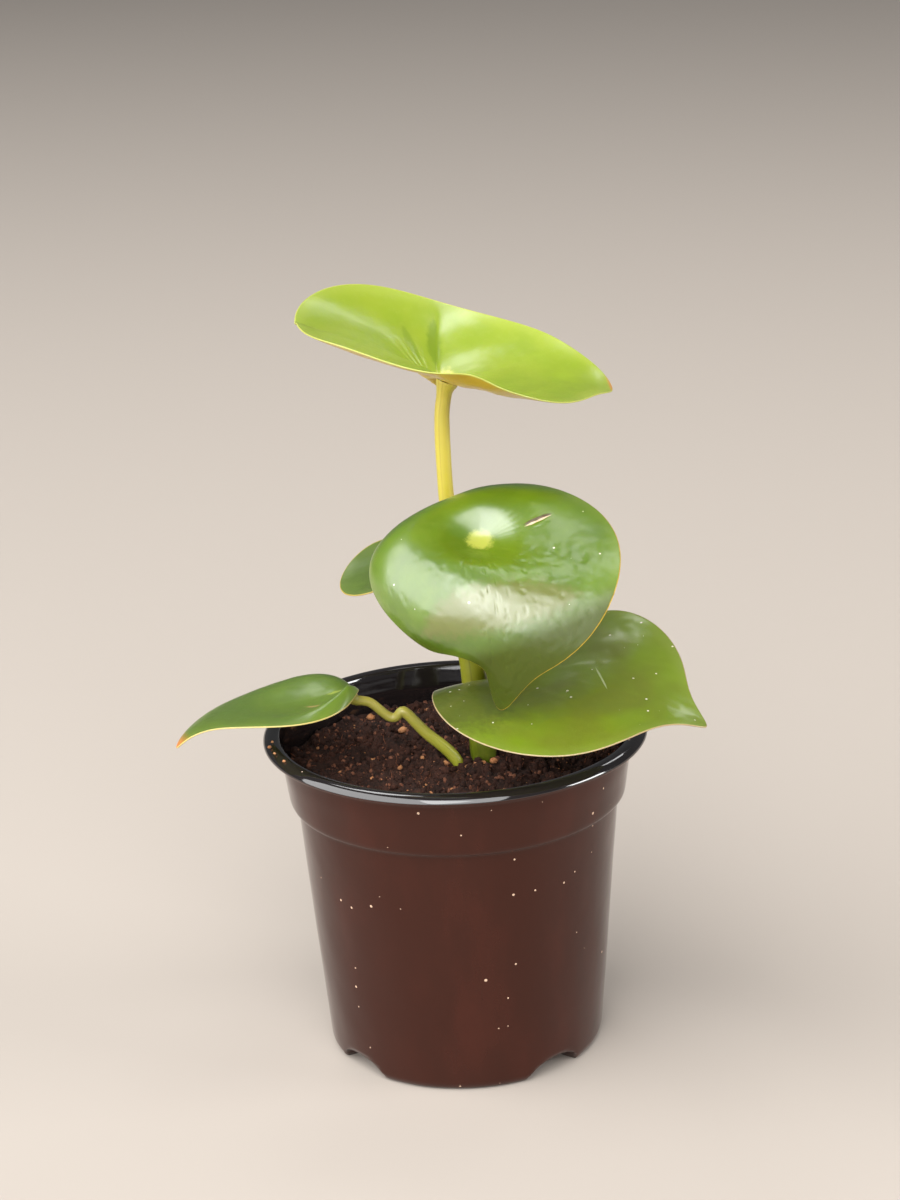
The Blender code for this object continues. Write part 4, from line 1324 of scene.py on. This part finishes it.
def sprinkle(name, tree, finish, density, sizes, bends, seed):
    """Scatters one kind over the soil: how many to a square centimetre, their sizes and their bends."""
    return built_by(tree, name, soil.data.copy(), {
        "Per square metre": density * SQUARE_CENTIMETRES, "Smallest": sizes[0] * MM, "Largest": sizes[1] * MM,
        "Seed": seed, "Bends per metre": bends[0], "Bend depth": bends[1] * MM, "Finish": finish,
    })


dark = peat("dark crumbs", seen(24, 12, 8), seen(64, 36, 25))
brown = peat("brown crumbs", seen(76, 42, 28), seen(122, 80, 60))
tan = peat("tan crumbs", seen(142, 88, 52), seen(180, 132, 92))
rusty = peat("rusty fibres", seen(80, 42, 26), seen(124, 74, 50))
crumbs = [
    sprinkle("dark_crumbs", CRUMB_TREE, dark, 42.0, (0.5, 3.6), (600.0, 1.3), 3),
    sprinkle("brown_crumbs", CRUMB_TREE, brown, 14.0, (0.4, 2.4), (800.0, 1.0), 11),
    sprinkle("tan_crumbs", CRUMB_TREE, tan, 1.6, (0.4, 2.4), (900.0, 0.9), 19),
    sprinkle("peat_fibres", FIBRE_TREE, rusty, 4.0, (1.5, 5.0), (420.0, 2.4), 23),
]

# %% [markdown]
# A few crumbs are large and pale enough to catch the eye, round the foot of the stem, near the pot's back
# and on the lip. Those are placed one by one: each is a small ball, pushed in and out by noise and partly
# sunk in what it lies on.

# %% Place the large crumbs
LARGE_CRUMBS = (  # x, y and size
    (-16.8, 24.9, 3.0), (-3.6, -4.8, 2.6), (8.4, -5.8, 2.2), (11.6, -5.2, 2.6), (-26.1, 2.2, 2.4),
    (3.2, -5.6, 1.8), (-0.6, -8.2, 2.2), (-27.4, 40.5, 2.8), (20.5, -24.0, 2.0), (-36.0, -8.5, 2.0),
)
LIP_CRUMBS = ((-57.2, -14.0, 1.3), (-55.4, -19.4, 1.0), (-56.6, -9.6, 0.9), (-52.2, -26.0, 1.1))
CRUMB_RINGS, CRUMB_SIDES = 5, 8
CRUMB_HALVES = (0.5, 0.42, 0.36)  # half its length, width and height, for a size of 1
CRUMB_OUT = 0.2  # how far its middle stands out of what it lies on
LIP_TOUCH = 0.05


def crumb_form(x, y, level, size):
    """Points of one large crumb."""
    ball = [(0.0, 0.0, 1.0)]
    for ring in range(1, CRUMB_RINGS + 1):
        fall = math.pi * ring / (CRUMB_RINGS + 1)
        for turn in np.arange(CRUMB_SIDES) * math.tau / CRUMB_SIDES:
            ball.append((math.sin(fall) * math.cos(turn), math.sin(fall) * math.sin(turn), math.cos(fall)))
    ball.append((0.0, 0.0, -1.0))
    rough = np.array([1 + 0.5 * noise.noise(Vector(point) * 1.4 + Vector((x, y, 0.0))) for point in ball])
    return np.array(ball) * rough[:, None] * size * CRUMB_HALVES + (x, y, level + CRUMB_OUT * size)


laid = [(x, y, SOIL_LEVEL + soil_relief(x, y), size) for x, y, size in LARGE_CRUMBS]
laid += [(x, y, pot_height - LIP_TOUCH, size) for x, y, size in LIP_CRUMBS]
forms = [crumb_form(*place) for place in laid]
crumb_faces = []
for number, form in enumerate(forms):
    start = number * len(form)
    crumb_faces += [tuple(start + corner for corner in face) for face in ring_faces(CRUMB_RINGS, CRUMB_SIDES)]
crumbs.append(new_piece("large_crumbs", np.vstack(forms), crumb_faces, tan))

# %% [markdown]
# ## Floor and light
#
# The leaves of the real plant mirror a broad white light from in front and from the left, and little else.
# A studio does the same with soft boxes. Two large ones stand in front of the plant, side by side, and a
# smaller one to its right. Three weak ones behind and above it put the small bright patches on the leaves
# that face away. All of them are far off, so the light is even. The floor is plain and pale.

# %% Set the floor and the lights
FLOOR_SIZE = 14.0
FLOOR_BELOW = 0.0001  # metres, so that the floor and the pot's base aren't in one plane
FLOOR_COLOUR = seen(164, 155, 146)
SKY_COLOUR = (0.95, 0.97, 1.0, 1.0)
SKY_STRENGTH = 0.15
PLANT_MIDDLE = Vector((0.0, 0.0, 0.13))
SOFT_BOXES = (  # degrees round from the front, degrees up, metres away, width and height, watts
    ("front left", -56.0, 35.0, 3.0, (5.8, 4.4), 344.0),
    ("front", 5.0, 38.0, 3.0, (2.2, 3.8), 118.0),
    ("right", 80.0, 14.0, 3.0, (1.4, 1.0), 64.0),
    ("back left", -158.0, 56.0, 1.6, (0.42, 0.42), 3.4),
    ("back right", 143.0, 38.0, 1.6, (0.26, 0.26), 1.0),
    ("above", 128.0, 76.0, 1.6, (0.36, 0.36), 1.5),
)

bpy.ops.mesh.primitive_plane_add(size=FLOOR_SIZE, location=(0.0, 0.0, -FLOOR_BELOW))
floor = bpy.context.object
floor.name = "studio_floor"
floor_finish, _, floor_shader = new_finish("studio floor")
floor_shader.inputs["Base Color"].default_value = FLOOR_COLOUR
floor_shader.inputs["Roughness"].default_value = 0.7
floor.data.materials.append(floor_finish)


def soft_box(name, azimuth, elevation, distance, size, watts):
    """An area light that faces the plant. Azimuth 0 is in front of the plant and 90 to its right."""
    light = bpy.data.lights.new(name, "AREA")
    light.shape = "RECTANGLE"
    light.size, light.size_y = size
    light.energy = watts
    lamp = bpy.data.objects.new(name, light)
    bpy.context.scene.collection.objects.link(lamp)
    turn, lift = math.radians(azimuth), math.radians(elevation)
    way = Vector((math.sin(turn) * math.cos(lift), -math.cos(turn) * math.cos(lift), math.sin(lift)))
    lamp.location = PLANT_MIDDLE + way * distance
    lamp.rotation_euler = way.to_track_quat("Z", "Y").to_euler()
    return lamp


lamps = [soft_box(*box) for box in SOFT_BOXES]
world = bpy.data.worlds.new("studio")
world.use_nodes = True
world.node_tree.nodes["Background"].inputs["Color"].default_value = SKY_COLOUR
world.node_tree.nodes["Background"].inputs["Strength"].default_value = SKY_STRENGTH
bpy.context.scene.world = world
bpy.context.scene.view_settings.view_transform = "Standard"
print("soft boxes:", len(lamps), "with", sum(lamp.data.energy for lamp in lamps), "watts in all")

# %% [markdown]
# ## Hand the pieces over
#
# The plant has no moving parts, so everything rides on the one body. Each piece hides the solid that it
# stands for. The crumbs and fibres stand for the soil together with its body.

# %% Ride and replace
for piece, node, slot in [(pot, "pot", "pot_plastic"), (soil, "soil", "peat")]:
    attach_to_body(piece, "root")
    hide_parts(node)
for piece in crumbs:
    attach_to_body(piece, "root")
    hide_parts("soil")
for node, piece in grown_pieces.items():
    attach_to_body(piece, "root")
    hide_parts(node)
for name, piece in blades.items():
    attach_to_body(piece, "root")
    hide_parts("blade_" + name)

print("pieces handed over:", 2 + len(crumbs) + len(grown_pieces) + len(blades))
